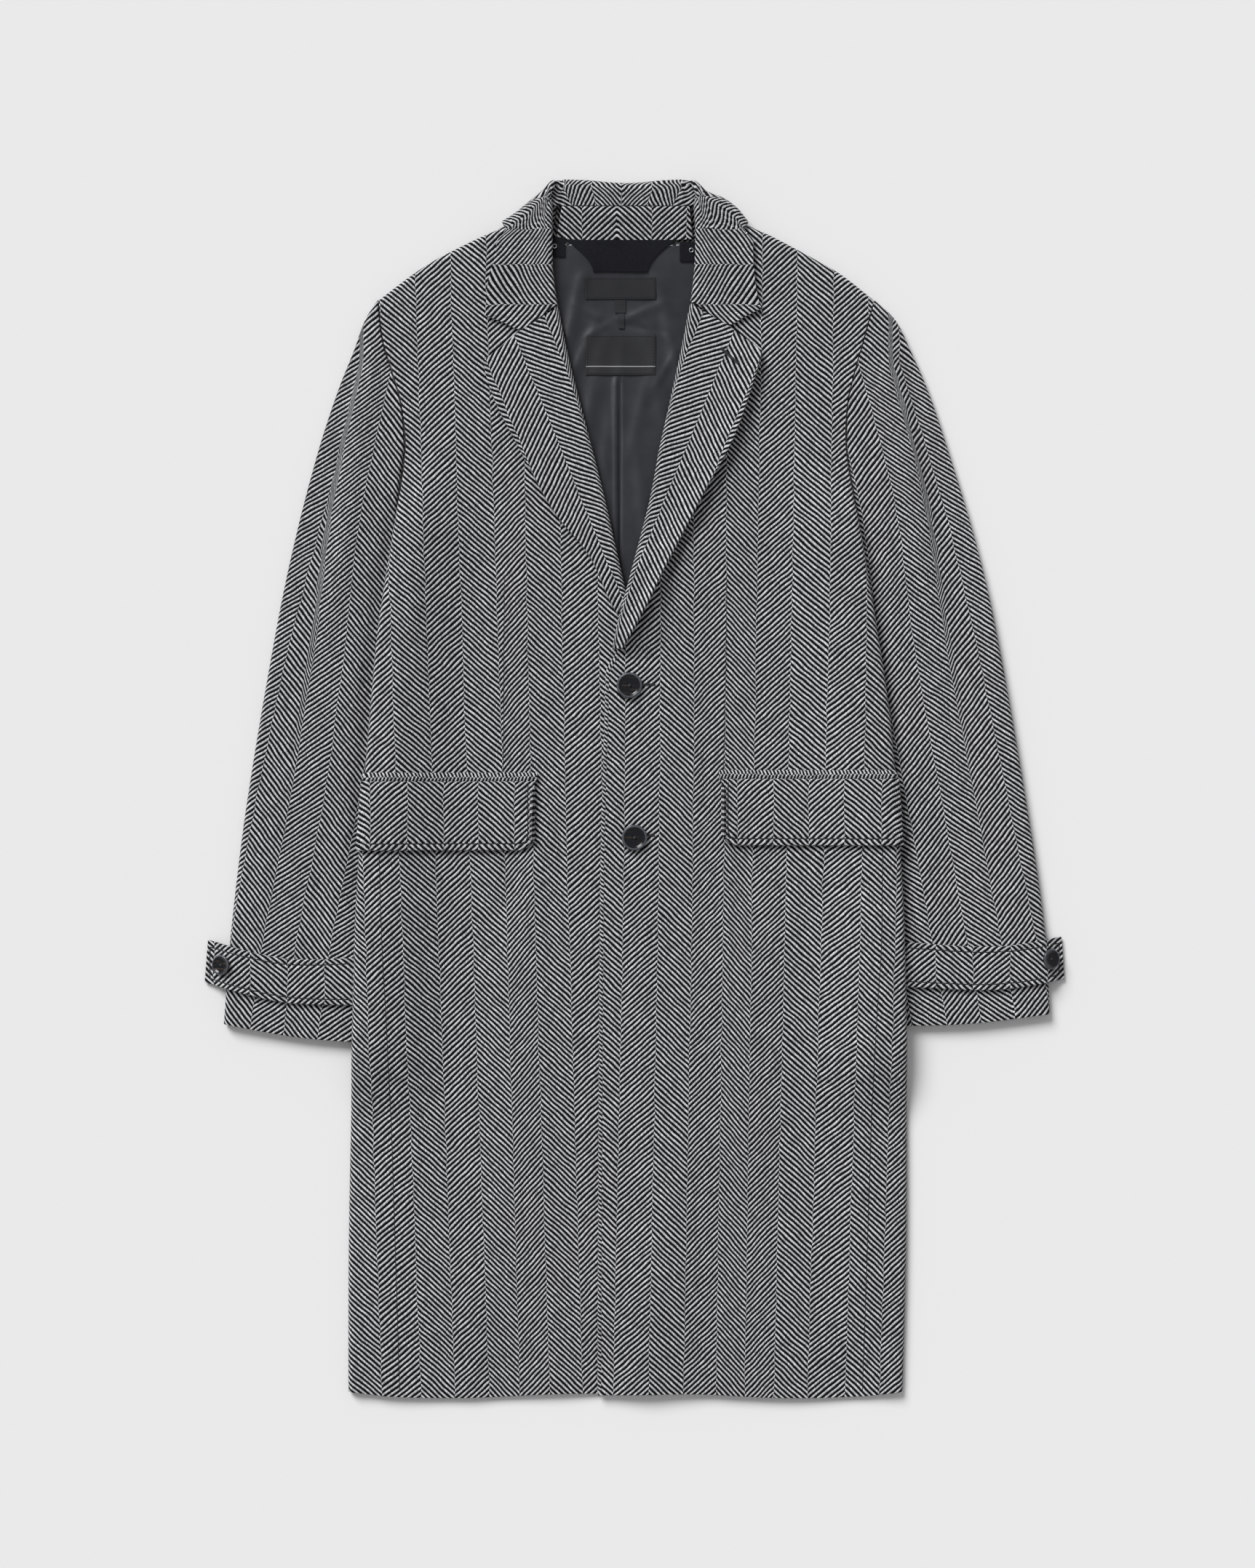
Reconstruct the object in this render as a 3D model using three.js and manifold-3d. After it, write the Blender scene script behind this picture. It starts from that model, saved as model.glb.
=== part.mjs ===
// A single-breasted herringbone wool overcoat, fastened and laid flat on its back.
// Millimetres. x runs across the coat towards the wearer's left, y runs from the hem to the collar,
// and z rises from the surface that the coat lies on.
import * as THREE from "three";
import { mergeVertices } from "three/addons/utils/BufferGeometryUtils.js";
import Module from "manifold-3d";

const wasm = await Module();
wasm.setup();

// Thicknesses and clearances
const WOOL = 3; // one wall of coating cloth with its interlining
const SLEEVE_WALL = 2.2;
const TURNED = 2.6; // wall of the lapels and the collar
const SEAM = 0.5; // clearance between pieces at a seam
const BODY = 9.8; // back and front together, lying on each other
const FOLD = BODY / 2; // radius of the rounded side, shoulder and sleeve folds
const LINING = 0.6;
const FACING = 1;
const LABEL = 0.6;
const TAB = 1;

// Lifts of one piece where it lies on another, and the run over which each lift eases in and out
const ON_SLEEVE = { lift: 11.2, top: 300, topRun: 80, foot: -300, footRun: 72, inset: 94, insetRun: 80 };
const ON_STRAP = { lift: 14.8, top: -78, topRun: 40 };
const ON_COLLAR = { lift: 3.4, y: 420, run: 56, halfWidth: 152, sideRun: 28 };
const ON_FRONT = { lift: 3.5, x: 92, run: 44, top: 240, topRun: 36 };
const ON_LAPEL = { lift: 6, halfWidth: 40, sideRun: 18, y: 168, halfHeight: 52, run: 22 };

// Rolls of the lapels and collar: radius of the outer bend at the foot, and its full radius
const ROLL = { foot: 2.4, full: 3.8, thinWall: 1.6 };
const FOLD_GAP = 0.95; // from the middle of a side or shoulder fold to either panel
const ROLL_SET = 2.8; // clearance between a roll and the edge of the front behind it
const BACK_ROLL = 5.6; // radius of the collar's roll behind the neck

// Trim
const BUTTON = { radius: 11.5, height: 3.6, rim: 1.6, well: 1.2, hole: 1.1, spread: 2.5 };
const CUFF_BUTTON = { radius: 9.2, height: 3.2, rim: 1.4, well: 1, hole: 0.9, spread: 2 };
const FRONT_BUTTONS = [
  { name: "button_top", x: 3.3, y: 92 },
  { name: "button_bottom", x: 7.8, y: -43.5 },
];
const FLAP = { wall: 3, lift: 0.9, corner: 12, arcStart: 1 };
const WELT = { wall: 2.2, lift: 0.9, height: 5.5, gap: 0.8, past: 2 };
const STRAP = { wall: 3, lift: 0.8, past: { left: 14.5, right: 20 }, droop: 9.4, start: 5, tuck: 9 };

// Rows of numbers under named columns
const table = (columns, rows) =>
  rows.map((row) => Object.fromEntries(columns.map((name, i) => [name, row[i]])));

// Half widths of the body, from the hem up the side edge and round the armhole to the shoulder tip
const BODY_EDGE = table(
  ["y", "left", "right"],
  [
    [-538, 247, 247.5],
    [-400, 250.5, 247],
    [-235, 250, 243.5],
    [-85, 246, 239],
    [55, 236, 228.5],
    [145, 223, 220],
    [235, 208, 206],
    [302, 196, 196],
    [342, 197, 199.5],
    [370, 203, 207],
    [400, 211.5, 216],
    [436, 221, 220],
  ],
);

// Shoulder fold, from the neck point to the shoulder tip
const SHOULDER = table(
  ["y", "left", "right"],
  [
    [512, 72, 72],
    [504, 100, 98],
    [496, 122, 119],
    [484, 147, 146],
    [471, 171, 171],
    [458, 193, 191],
    [436, 221, 220],
  ],
);

// Hem, from the middle of a panel's lower edge to the side
const HEM = table(
  ["along", "y"],
  [
    [0, -541],
    [0.3, -540],
    [0.6, -543.5],
    [0.85, -542.5],
    [1, -538],
  ],
);

// Front edges of the fronts below the lapels, as distances out from the centre
const FRONT_EDGE = table(
  ["y", "left", "right"],
  [
    [-541, -24.7, -28],
    [-75, -22, -28],
    [81, -17.8, -27],
    [104, -17, -22],
  ],
);

// Roll lines of the lapels and collar leaves, as distances out from the centre
const ROLL_LINE = table(
  ["y", "left", "right"],
  [
    [124, -12.3, -13],
    [154, -5.9, -6.5],
    [183, 2, 1],
    [221, 12, 10],
    [261, 22, 19],
    [304, 30, 30],
    [344, 39, 40.5],
    [388, 48.5, 51.5],
    [428, 56.6, 59.8],
    [459, 60.6, 64.4],
    [497, 61.8, 65],
    [519, 60.4, 65],
    [536, 58.5, 64.4],
  ],
);
const GORGE = { left: 432, right: 428.7 }; // y where lapel and collar leaf meet at the roll

// Free edges of the lapels, from the foot to the tip
const LAPEL_EDGE = {
  left: table(
    ["x", "y"],
    [
      [-3.9, 124],
      [6.5, 143],
      [20.2, 169],
      [42.3, 213],
      [65.7, 257],
      [95.6, 312],
      [115, 367],
      [121.6, 389.7],
    ],
  ),
  right: table(
    ["x", "y"],
    [
      [0.5, 146],
      [11.7, 163.5],
      [31.9, 207],
      [63.7, 246.7],
      [95.6, 304.5],
      [115, 342],
      [124.8, 370],
      [125.8, 382],
    ],
  ),
};
const LAPEL_FOOT = { left: 124, right: 146 };
const NOTCH = { left: [91.7, 412], right: [93.6, 408] };

// Free edges of the collar leaves, from the tip to the shoulder
const LEAF_EDGE = {
  left: table(
    ["x", "y"],
    [
      [120.5, 427],
      [116, 445],
      [113.4, 471],
      [112.5, 494],
      [109.5, 505],
    ],
  ),
  right: table(
    ["x", "y"],
    [
      [124.8, 421],
      [123, 447],
      [117, 471],
      [113.5, 489],
      [110.5, 505.5],
    ],
  ),
};

// Outer edge of the turned-down collar, from the roll's corner to the shoulder
const COLLAR_SHOULDER = {
  left: table(
    ["x", "y"],
    [
      [62, 542],
      [74, 531.5],
      [88, 526],
      [99, 518],
    ],
  ),
  right: table(
    ["x", "y"],
    [
      [66, 543],
      [75, 532.5],
      [88, 522],
      [99, 513],
    ],
  ),
};
const COLLAR_BACK = { roll: 543.5, sag: 3.2, seam: 519.4, fall: 481, corner: 52 };
const NECK_SEAM = 487; // y of the seam between back and collar stand
const STAND_RISE = 3.8; // rise of the stand from the neck seam to the collar seam

// Outer edges of the sleeves, from the shoulder tip to the cuff
const SLEEVE_EDGE = table(
  ["y", "left", "right"],
  [
    [418, 240.5, 232.5],
    [392, 253.5, 242],
    [354, 270, 257],
    [302, 287.5, 274],
    [224, 311, 294.5],
    [146, 329.5, 311],
    [-10, 357, 337.5],
    [-127, 374, 352],
  ],
);
const CUFF = {
  left: { outer: [378.5, -201], inner: -212 },
  right: { outer: [358.5, -210], inner: -227 },
  bulge: 3, // sag of the hem between its ends
};

// How far the sleeve's inner edge lies under the body's side
const SLEEVE_TUCK = table(
  ["y", "tuck"],
  [
    [-230, 15],
    [140, 14],
    [205, 8],
    [240, 1],
    [262, -0.7],
    [302, -1],
  ],
);
const UNDERARM = 302; // y where the sleeve's inner edge starts
const UNDERARM_RUN = 50; // stretch below it over which the body's side fold runs out
const ARMHOLE_GAP = 1.2;

// Long fold down the upper sleeve: distance in from the outer edge, and depth of the step
const FOLD_STEP = { run: 9, foot: 110, footRun: 60, head: 430, headRun: 20 };
const SLEEVE_FOLD = table(
  ["y", "inset", "depth"],
  [
    [110, 44, 0],
    [200, 40, 1.4],
    [290, 30, 2.1],
    [360, 20, 2.1],
    [430, 8, 1],
  ],
);

// Pocket flaps: inner side, upper edge and lower edge
const FLAP_PLACE = {
  left: { inner: 85, top: 8.8, bottom: -50.5 },
  right: { inner: 81, top: 6.5, bottom: -55 },
};

// Cuff straps: y of the upper and lower edges at the inner end, the middle and the outer end
const STRAP_EDGE = {
  left: table(
    ["along", "top", "bottom"],
    [
      [0, -136, -176],
      [0.6, -140.5, -179],
      [1, -132, -170],
    ],
  ),
  right: table(
    ["along", "top", "bottom"],
    [
      [0, -150.5, -193],
      [0.5, -151, -190],
      [1, -135, -173],
    ],
  ),
};

const clamp01 = (t) => Math.min(1, Math.max(0, t));
const ease = (t) => clamp01(t) ** 2 * (3 - 2 * clamp01(t));
const mix = (a, b, t) => a.map((value, i) => value + (b[i] - value) * t);
const sign = { left: 1, right: -1 };
const evenly = (count) => Array.from({ length: count + 1 }, (_, i) => i / count);
const radians = (degrees) => (degrees * Math.PI) / 180;

// Smooth curve through points, with t from 0 to 1 along its length or along given knots
function spline(points, knots = null) {
  const last = points.length - 1;
  const at = knots ?? [0];
  for (let i = at.length; i <= last; i++) {
    at.push(at[i - 1] + Math.hypot(...points[i].map((value, k) => value - points[i - 1][k])));
  }
  const slope = (i) => {
    const [a, b] = [Math.max(i - 1, 0), Math.min(i + 1, last)];
    return points[a].map((value, k) => (points[b][k] - value) / (at[b] - at[a]));
  };
  return (t) => {
    const s = at[0] + t * (at[last] - at[0]);
    let i = 0;
    while (i < last - 1 && s > at[i + 1]) i++;
    const h = at[i + 1] - at[i];
    const w = (s - at[i]) / h;
    const [m, n] = [slope(i), slope(i + 1)];
    return points[i].map(
      (value, k) =>
        value * (1 + 2 * w) * (1 - w) ** 2 +
        m[k] * h * w * (1 - w) ** 2 +
        points[i + 1][k] * w * w * (3 - 2 * w) +
        n[k] * h * w * w * (w - 1),
    );
  };
}

// Value of one column of a table at a value of another, smoothly interpolated
function reader(rows, by, column) {
  const sorted = [...rows].sort((a, b) => a[by] - b[by]);
  const [low, high] = [sorted[0][by], sorted.at(-1)[by]];
  const curve = spline(
    sorted.map((row) => [row[column]]),
    sorted.map((row) => row[by]),
  );
  return (value) => curve(clamp01((value - low) / (high - low)))[0];
}
const readSides = (rows) => ({ left: reader(rows, "y", "left"), right: reader(rows, "y", "right") });

const bodyEdge = readSides(BODY_EDGE);
const rollLine = readSides(ROLL_LINE);
const frontEdge = readSides(FRONT_EDGE);
const sleeveTuck = reader(SLEEVE_TUCK, "y", "tuck");
const foldInset = reader(SLEEVE_FOLD, "y", "inset");
const foldDepth = reader(SLEEVE_FOLD, "y", "depth");

// Drop of a rounded fold at a distance in from its edge, and insets evenly round its arc
const foldDrop = (inset) =>
  inset >= FOLD ? 0 : FOLD - Math.sqrt(Math.max(0, FOLD ** 2 - (FOLD - Math.max(0, inset)) ** 2));
const FOLD_INSETS = [0, 30, 60, 90].map((degrees) => FOLD * (1 - Math.cos(radians(degrees))));
const sideFold = (y) => ease((UNDERARM - y) / UNDERARM_RUN);

// Radius of a lapel's roll, growing from its foot
const rollRadius = (side, y) =>
  ROLL.foot + (ROLL.full - ROLL.foot) * ease((y - LAPEL_FOOT[side]) / 60);

// Height of the back's underside above the surface
function bed(x, y) {
  const side = x > 0 ? "left" : "right";
  const inset = bodyEdge[side](y) - Math.abs(x);
  const aboveFoot = ease((y - ON_SLEEVE.foot) / ON_SLEEVE.footRun);
  const sleeve = ON_SLEEVE.lift * ease((ON_SLEEVE.top - y) / ON_SLEEVE.topRun);
  const strap = (ON_STRAP.lift - ON_SLEEVE.lift) * ease((ON_STRAP.top - y) / ON_STRAP.topRun);
  const atSide = ease((ON_SLEEVE.inset - inset) / ON_SLEEVE.insetRun);
  const acrossNeck = ease((ON_COLLAR.halfWidth - Math.abs(x)) / ON_COLLAR.sideRun);
  const collar = ON_COLLAR.lift * ease((y - ON_COLLAR.y) / ON_COLLAR.run) * acrossNeck;
  return (sleeve + strap) * aboveFoot * atSide + collar;
}

// Height of a front panel's face away from its folds
function frontTop(side, x, y) {
  const base = bed(x, y) + BODY;
  if (side === "right") return base;
  const belowLapels = ease((ON_FRONT.top - y) / ON_FRONT.topRun);
  const overRight = ON_FRONT.lift * ease((ON_FRONT.x - x) / ON_FRONT.run) * belowLapels;
  const acrossFoot = ease((ON_LAPEL.halfWidth - Math.abs(x)) / ON_LAPEL.sideRun);
  const alongFoot = ease((ON_LAPEL.halfHeight - Math.abs(y - ON_LAPEL.y)) / ON_LAPEL.run);
  return base + overRight + ON_LAPEL.lift * acrossFoot * alongFoot;
}

// Patch between four edges: u runs from inner to outer, v from bottom to top
const coons = (inner, outer, bottom, top) => (u, v) =>
  mix(inner(v), outer(v), u).map(
    (value, k) =>
      value +
      mix(bottom(u), top(u), v)[k] -
      mix(mix(inner(0), inner(1), v), mix(outer(0), outer(1), v), u)[k],
  );

// Path through corner points that reaches each corner at its given t
const path = (corners, at) => (t) => {
  let i = 0;
  while (i < corners.length - 2 && t > at[i + 1]) i++;
  return mix(corners[i], corners[i + 1], (t - at[i]) / (at[i + 1] - at[i]));
};

// Unit normals of a grid of face points. Columns crossed with rows point out of the face.
function normals(grid, ring) {
  const [rows, columns] = [grid.length, grid[0].length];
  const point = (i, j) => new THREE.Vector3(...grid[i][j]);
  // Direction at the first of three points, bending as they do
  const leaving = (a, b, c) => {
    const [near, far] = [a.distanceTo(b), b.distanceTo(c)];
    const first = b.clone().sub(a).divideScalar(near);
    const bend = c.sub(b).divideScalar(far).sub(first);
    return first.addScaledVector(bend, -near / (near + far));
  };
  const across = (i, j) => {
    if (ring) return point(i, (j + 1) % columns).sub(point(i, (j + columns - 1) % columns));
    if (j === 0) return leaving(point(i, 0), point(i, 1), point(i, 2));
    if (j === columns - 1) return leaving(point(i, j), point(i, j - 1), point(i, j - 2)).negate();
    return point(i, j + 1).sub(point(i, j - 1));
  };
  const along = (i, j) => {
    if (i === 0) return leaving(point(0, j), point(1, j), point(2, j));
    if (i === rows - 1) return leaving(point(i, j), point(i - 1, j), point(i - 2, j)).negate();
    return point(i + 1, j).sub(point(i - 1, j));
  };
  return grid.map((row, i) => row.map((_, j) => across(i, j).cross(along(i, j)).normalize()));
}

// Face points moved out along their normals
function raised(grid, distance, ring = false) {
  const out = normals(grid, ring);
  return grid.map((row, i) =>
    row.map((p, j) => new THREE.Vector3(...p).addScaledVector(out[i][j], distance).toArray()),
  );
}

// Closed wall of cloth under a grid of face points, of one thickness or one for each row
function wall(grid, thickness, ring = false) {
  const [rows, columns] = [grid.length, grid[0].length];
  const out = normals(grid, ring);
  const depth = (i) => (Array.isArray(thickness) ? thickness[i] : thickness);
  const back = grid.map((row, i) =>
    row.map((p, j) => new THREE.Vector3(...p).addScaledVector(out[i][j], -depth(i)).toArray()),
  );
  const positions = [...grid.flat(2), ...back.flat(2)];
  const face = (i, j) => i * columns + (j % columns);
  const rear = (i, j) => rows * columns + face(i, j);
  const index = [];
  const quad = (a, b, c, d) => index.push(a, b, c, a, c, d);
  const spans = ring ? columns : columns - 1;
  for (let j = 0; j < spans; j++) {
    for (let i = 0; i < rows - 1; i++) {
      quad(face(i, j), face(i, j + 1), face(i + 1, j + 1), face(i + 1, j));
      quad(rear(i, j), rear(i + 1, j), rear(i + 1, j + 1), rear(i, j + 1));
    }
    quad(face(0, j), rear(0, j), rear(0, j + 1), face(0, j + 1));
    quad(face(rows - 1, j), face(rows - 1, j + 1), rear(rows - 1, j + 1), rear(rows - 1, j));
  }
  for (let i = 0; i < rows - 1 && !ring; i++) {
    const end = columns - 1;
    quad(face(i, 0), face(i + 1, 0), rear(i + 1, 0), rear(i, 0));
    quad(face(i, end), rear(i, end), rear(i + 1, end), face(i + 1, end));
  }
  const geometry = new THREE.BufferGeometry();
  geometry.setAttribute("position", new THREE.Float32BufferAttribute(positions, 3));
  geometry.setIndex(index);
  return geometry;
}

// The same with its columns reversed on the wearer's right, so that the face stays outwards
const sided = (side, grid) => (side === "left" ? grid : grid.map((row) => [...row].reverse()));

// Rows of the body panels, close together where the body lifts, at the armhole and at the shoulder
const BODY_ROWS = [
  0, 0.1, 0.215, 0.245, 0.275, 0.3, 0.345, 0.39, 0.43, 0.5, 0.55, 0.6, 0.63, 0.655, 0.69, 0.72, 0.75,
  0.785, 0.82, 0.85, 0.88, 0.905, 0.93, 0.955, 0.98,
];
const PANEL_LENGTH = 1020;
const SIDE_INSETS = [14, 32, 52, 74, 96];

// Grid of a body panel, with close columns and rows round its side and shoulder folds
function bodyGrid(patch, count, height) {
  const shoulder = [...FOLD_INSETS].reverse().map((inset) => 1 - inset / PANEL_LENGTH);
  return [...BODY_ROWS, ...shoulder].map((v) => {
    const width = Math.abs(patch(1, v)[0] - patch(0, v)[0]);
    const scale = Math.min(1, width / 170);
    const insets = [...FOLD_INSETS, ...SIDE_INSETS.map((inset) => inset * scale)];
    const start = 1 - insets.at(-1) / width;
    const columns = [
      ...evenly(count).map((t) => t * start),
      ...insets.slice(0, -1).reverse().map((inset) => 1 - inset / width),
    ];
    return columns.map((u) => {
      const [x, y] = patch(u, v);
      const [outerX, outerY] = patch(1, v);
      const [topX, topY] = patch(u, 1);
      const side = foldDrop(Math.hypot(outerX - x, outerY - y)) * sideFold(y);
      const top = foldDrop(Math.hypot(topX - x, topY - y));
      return [x, y, height(x, y, Math.min(FOLD - FOLD_GAP, side + top))];
    });
  });
}

const edgePoints = (rows, side) => rows.map((row) => [sign[side] * row[side], row.y]);

// Front panel: its inner edge follows the front edge up to the lapel, then lies just behind the roll
function front(side) {
  const behindRoll = ROLL_LINE.filter((row) => row.y < 510).map((row) => {
    const shift = rollRadius(side, row.y) + ROLL_SET;
    return [sign[side] * (row[side] + shift), row.y];
  });
  const neckPoint = edgePoints([SHOULDER[0]], side);
  const inner = spline([...edgePoints(FRONT_EDGE, side), ...behindRoll, ...neckPoint]);
  const outer = spline(edgePoints(BODY_EDGE, side));
  const [start, end] = [inner(0)[0], outer(0)[0]];
  const hem = spline(HEM.map((row) => [start + (end - start) * row.along, row.y]));
  const patch = coons(inner, outer, hem, spline(edgePoints(SHOULDER, side)));
  return wall(sided(side, bodyGrid(patch, 5, (x, y, drop) => frontTop(side, x, y) - drop)), WOOL);
}

// Back panel, whose face points down, in one piece from side to side
function back() {
  const middle = spline([
    [0, HEM[0].y],
    [0, NECK_SEAM],
  ]);
  const half = (side) => {
    const outer = spline(edgePoints(BODY_EDGE, side));
    const neck = [
      [0, NECK_SEAM],
      [sign[side] * 60, NECK_SEAM + 0.5],
    ];
    const top = spline([...neck, ...edgePoints(SHOULDER.slice(1), side)]);
    const hem = spline(HEM.map((row) => [outer(0)[0] * row.along, row.y]));
    return bodyGrid(coons(middle, outer, hem, top), 4, (x, y, drop) => bed(x, y) + drop);
  };
  const [left, right] = [half("left"), half("right")];
  return wall(
    left.map((row, i) => [...[...row].reverse(), ...right[i].slice(1)]),
    WOOL,
  );
}

// Sleeve: a flattened tube from the armhole to the cuff, with a rounded fold along each side
const SLEEVE_ROWS = [
  0, 0.03, 0.07, 0.12, 0.2, 0.3, 0.42, 0.54, 0.64, 0.71, 0.76, 0.81, 0.86, 0.9, 0.94, 0.97, 1,
];
const SLEEVE_COLUMNS = [0.12, 0.28, 0.44, 0.6, 0.74, 0.87];

function sleevePatch(side) {
  const s = sign[side];
  const armhole = BODY_EDGE.filter((row) => row.y >= UNDERARM).map((row) => [
    s * (row[side] + ARMHOLE_GAP),
    row.y,
  ]);
  const { outer: cuffOuter, inner: cuffInner } = CUFF[side];
  const innerAt = (y) => [s * (bodyEdge[side](y) - sleeveTuck(y)), y];
  const tuckYs = SLEEVE_TUCK.map((row) => row.y).filter((y) => y > cuffInner && y < UNDERARM);
  const innerPoints = [cuffInner, -100, 30, ...tuckYs].map(innerAt);
  const outerPoints = edgePoints([...SLEEVE_EDGE].reverse(), side);
  const cuffEnd = [s * cuffOuter[0], cuffOuter[1]];
  const bulge = [(innerPoints[0][0] + cuffEnd[0]) / 2, (cuffInner + cuffOuter[1]) / 2 - CUFF.bulge];
  return coons(
    spline([...innerPoints, armhole[0]]),
    spline([cuffEnd, ...outerPoints, armhole.at(-1)]),
    spline([innerPoints[0], bulge, cuffEnd]),
    spline(armhole),
  );
}

// Height of a sleeve's upper face, for a distance in from each of its sides
function sleeveTop(y, outerInset, innerInset) {
  const { run, foot, footRun, head, headRun } = FOLD_STEP;
  const along = ease((y - foot) / footRun) * ease((head - y) / headRun);
  const step = foldDepth(y) * ease((foldInset(y) - outerInset) / run) * along;
  return BODY - Math.max(foldDrop(outerInset), foldDrop(innerInset), step);
}

// Sine of the angle at which a row of a patch meets its inner or outer edge
function meeting(patch, end, v) {
  const from = (u, w) => new THREE.Vector2(...patch(u, w));
  const row = from(1, v).sub(from(0, v)).normalize();
  const edge = from(end, Math.min(1, v + 0.01)).sub(from(end, Math.max(0, v - 0.01))).normalize();
  return Math.abs(row.cross(edge));
}

function sleeve(side) {
  const patch = sleevePatch(side);
  const grid = SLEEVE_ROWS.map((v) => {
    const width = Math.hypot(...patch(1, v).map((value, k) => value - patch(0, v)[k]));
    const [innerSine, outerSine] = [meeting(patch, 0, v), meeting(patch, 1, v)];
    const inner = FOLD_INSETS.map((inset) => inset / innerSine / width);
    const outer = FOLD_INSETS.map((inset) => inset / outerSine / width);
    const middle = SLEEVE_COLUMNS.map((u) => inner.at(-1) + u * (1 - inner.at(-1) - outer.at(-1)));
    const across = [...inner, ...middle, ...[...outer].reverse().map((u) => 1 - u)];
    const at = (u, upper) => {
      const [x, y] = patch(u, v);
      const [innerInset, outerInset] = [u * width * innerSine, (1 - u) * width * outerSine];
      const top = sleeveTop(y, outerInset, innerInset);
      const bottom = Math.max(foldDrop(outerInset), foldDrop(innerInset));
      return [x, y, upper ? top : bottom];
    };
    const upper = across.map((u) => at(u, true));
    const lower = [...across].reverse().slice(1, -1).map((u) => at(u, false));
    return [...upper, ...lower];
  });
  return wall(sided(side, grid), SLEEVE_WALL, true);
}

// Bend of a lapel or leaf: from under the roll, round it, and out over the front
const BEND = [-90, -45, 0, 45, 90];
const BAND = 1.2; // width of the band that goes on under the roll
const FLAT_COLUMNS = [0.2, 0.5, 0.75, 1];
const FLAT_START = 0.06; // least share of the width between the bend and the first of these
const REST = 0.8; // clearance of a turned piece above what it lies on
const LAPEL_LIFT = { left: 3, right: 1.2 }; // lift of the free edge

// Section of a turned piece at v, in the plane across its roll line
function turnedSection(side, patch, v, radius, under, rise) {
  const [x, y] = patch(0, v);
  const [ahead, behind] = [patch(0, Math.min(1, v + 0.02)), patch(0, Math.max(0, v - 0.02))];
  const along = new THREE.Vector2(ahead[0] - behind[0], ahead[1] - behind[1]).normalize();
  const out = [along.y * sign[side], -along.x * sign[side]];
  const floor = under(x + out[0] * radius, y + out[1] * radius) - WOOL;
  const place = (distance, z) => [x + out[0] * distance, y + out[1] * distance, z];
  const bend = BEND.map((degrees) =>
    place(radius * (1 - Math.cos(radians(degrees))), floor + radius * (1 + Math.sin(radians(degrees)))),
  );
  const width = Math.hypot(...patch(1, v).map((value, k) => value - patch(0, v)[k]));
  const first = radius / width + FLAT_START;
  const flat = FLAT_COLUMNS.map((column, i) => {
    const u = Math.min(1, Math.max(first + (i === 0 ? 0 : column * FLAT_COLUMNS[0]), column));
    const [px, py] = patch(u, v);
    return [px, py, under(px, py) + rise(u, v, 2 * radius - WOOL)];
  });
  return [place(radius + BAND, floor), ...bend, ...flat];
}

const LAPEL_ROWS = [
  0, 0.05, 0.1, 0.16, 0.23, 0.3, 0.38, 0.46, 0.54, 0.62, 0.7, 0.78, 0.85, 0.91, 0.96, 1,
];

// Lapel, turned back along its roll line onto the front
function lapel(side) {
  const s = sign[side];
  const foot = LAPEL_FOOT[side];
  const rollYs = [foot, ...ROLL_LINE.map((row) => row.y).filter((y) => y > foot + 5 && y < 425)];
  const roll = spline([...rollYs, GORGE[side]].map((y) => [s * rollLine[side](y), y]));
  const edge = spline(LAPEL_EDGE[side].map(({ x, y }) => [s * x, y]));
  const top = path([roll(1), [s * NOTCH[side][0], NOTCH[side][1]], edge(1)], [0, 0.5, 1]);
  const patch = coons(roll, edge, path([roll(0), edge(0)], [0, 1]), top);
  const resting = TURNED + REST;
  const rise = (u, v, rolled) => {
    const lifted = LAPEL_LIFT[side] * u ** 3 * ease((1.04 - v) / 0.1);
    return resting + (rolled - resting) * ease((0.55 - u) / 0.5) + lifted;
  };
  const under = (x, y) => frontTop(side, x, y);
  const rows = LAPEL_ROWS;
  const grid = rows.map((v) => {
    const radius = rollRadius(side, patch(0, v)[1]);
    return turnedSection(side, patch, v, radius, under, rise);
  });
  const walls = rows.map((v) => {
    const grown = (rollRadius(side, patch(0, v)[1]) - ROLL.foot) / (ROLL.full - ROLL.foot);
    return ROLL.thinWall + (TURNED - ROLL.thinWall) * grown;
  });
  return wall(sided(side, grid), walls);
}

// Collar: one sheet from the stand's seam, over the roll and down to its free edge. It lies as a leaf
// on each front, turns over along each shoulder, and lies behind the neck under the back.
const COLLAR_FALL = [0.25, 0.5, 0.75, 1];
const LEAF_ROWS = [0, 0.12, 0.3, 0.48, 0.64, 0.78];
const TURN_ANGLES = [90, 54, 18, -18, -54, -90];
const BACK_STEPS = [0.34, 0.68];
const LEAF_LIFT = { roll: 1.4, edge: 1.2 }; // lift of a leaf beside its roll and at its free edge
const BAND_TOP = 2 * BACK_ROLL - 1.6; // height of the collar's seam with the stand

// Section of the collar: the roll's extreme point, the way it faces, the way from band to fall
function collarSection({ roll, facing, turn, radius, band, fall }) {
  const [face, over] = [new THREE.Vector3(...facing).normalize(), new THREE.Vector3(...turn)];
  over.addScaledVector(face, -over.dot(face)).normalize();
  const centre = new THREE.Vector3(...roll).addScaledVector(face, -radius);
  const bend = BEND.map((degrees) =>
    centre
      .clone()
      .addScaledVector(face, radius * Math.cos(radians(degrees)))
      .addScaledVector(over, radius * Math.sin(radians(degrees)))
      .toArray(),
  );
  const start = bend.at(-1);
  return [band, mix(band, bend[0], 0.5), ...bend, ...fall.map((point) => point(start))];
}

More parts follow.
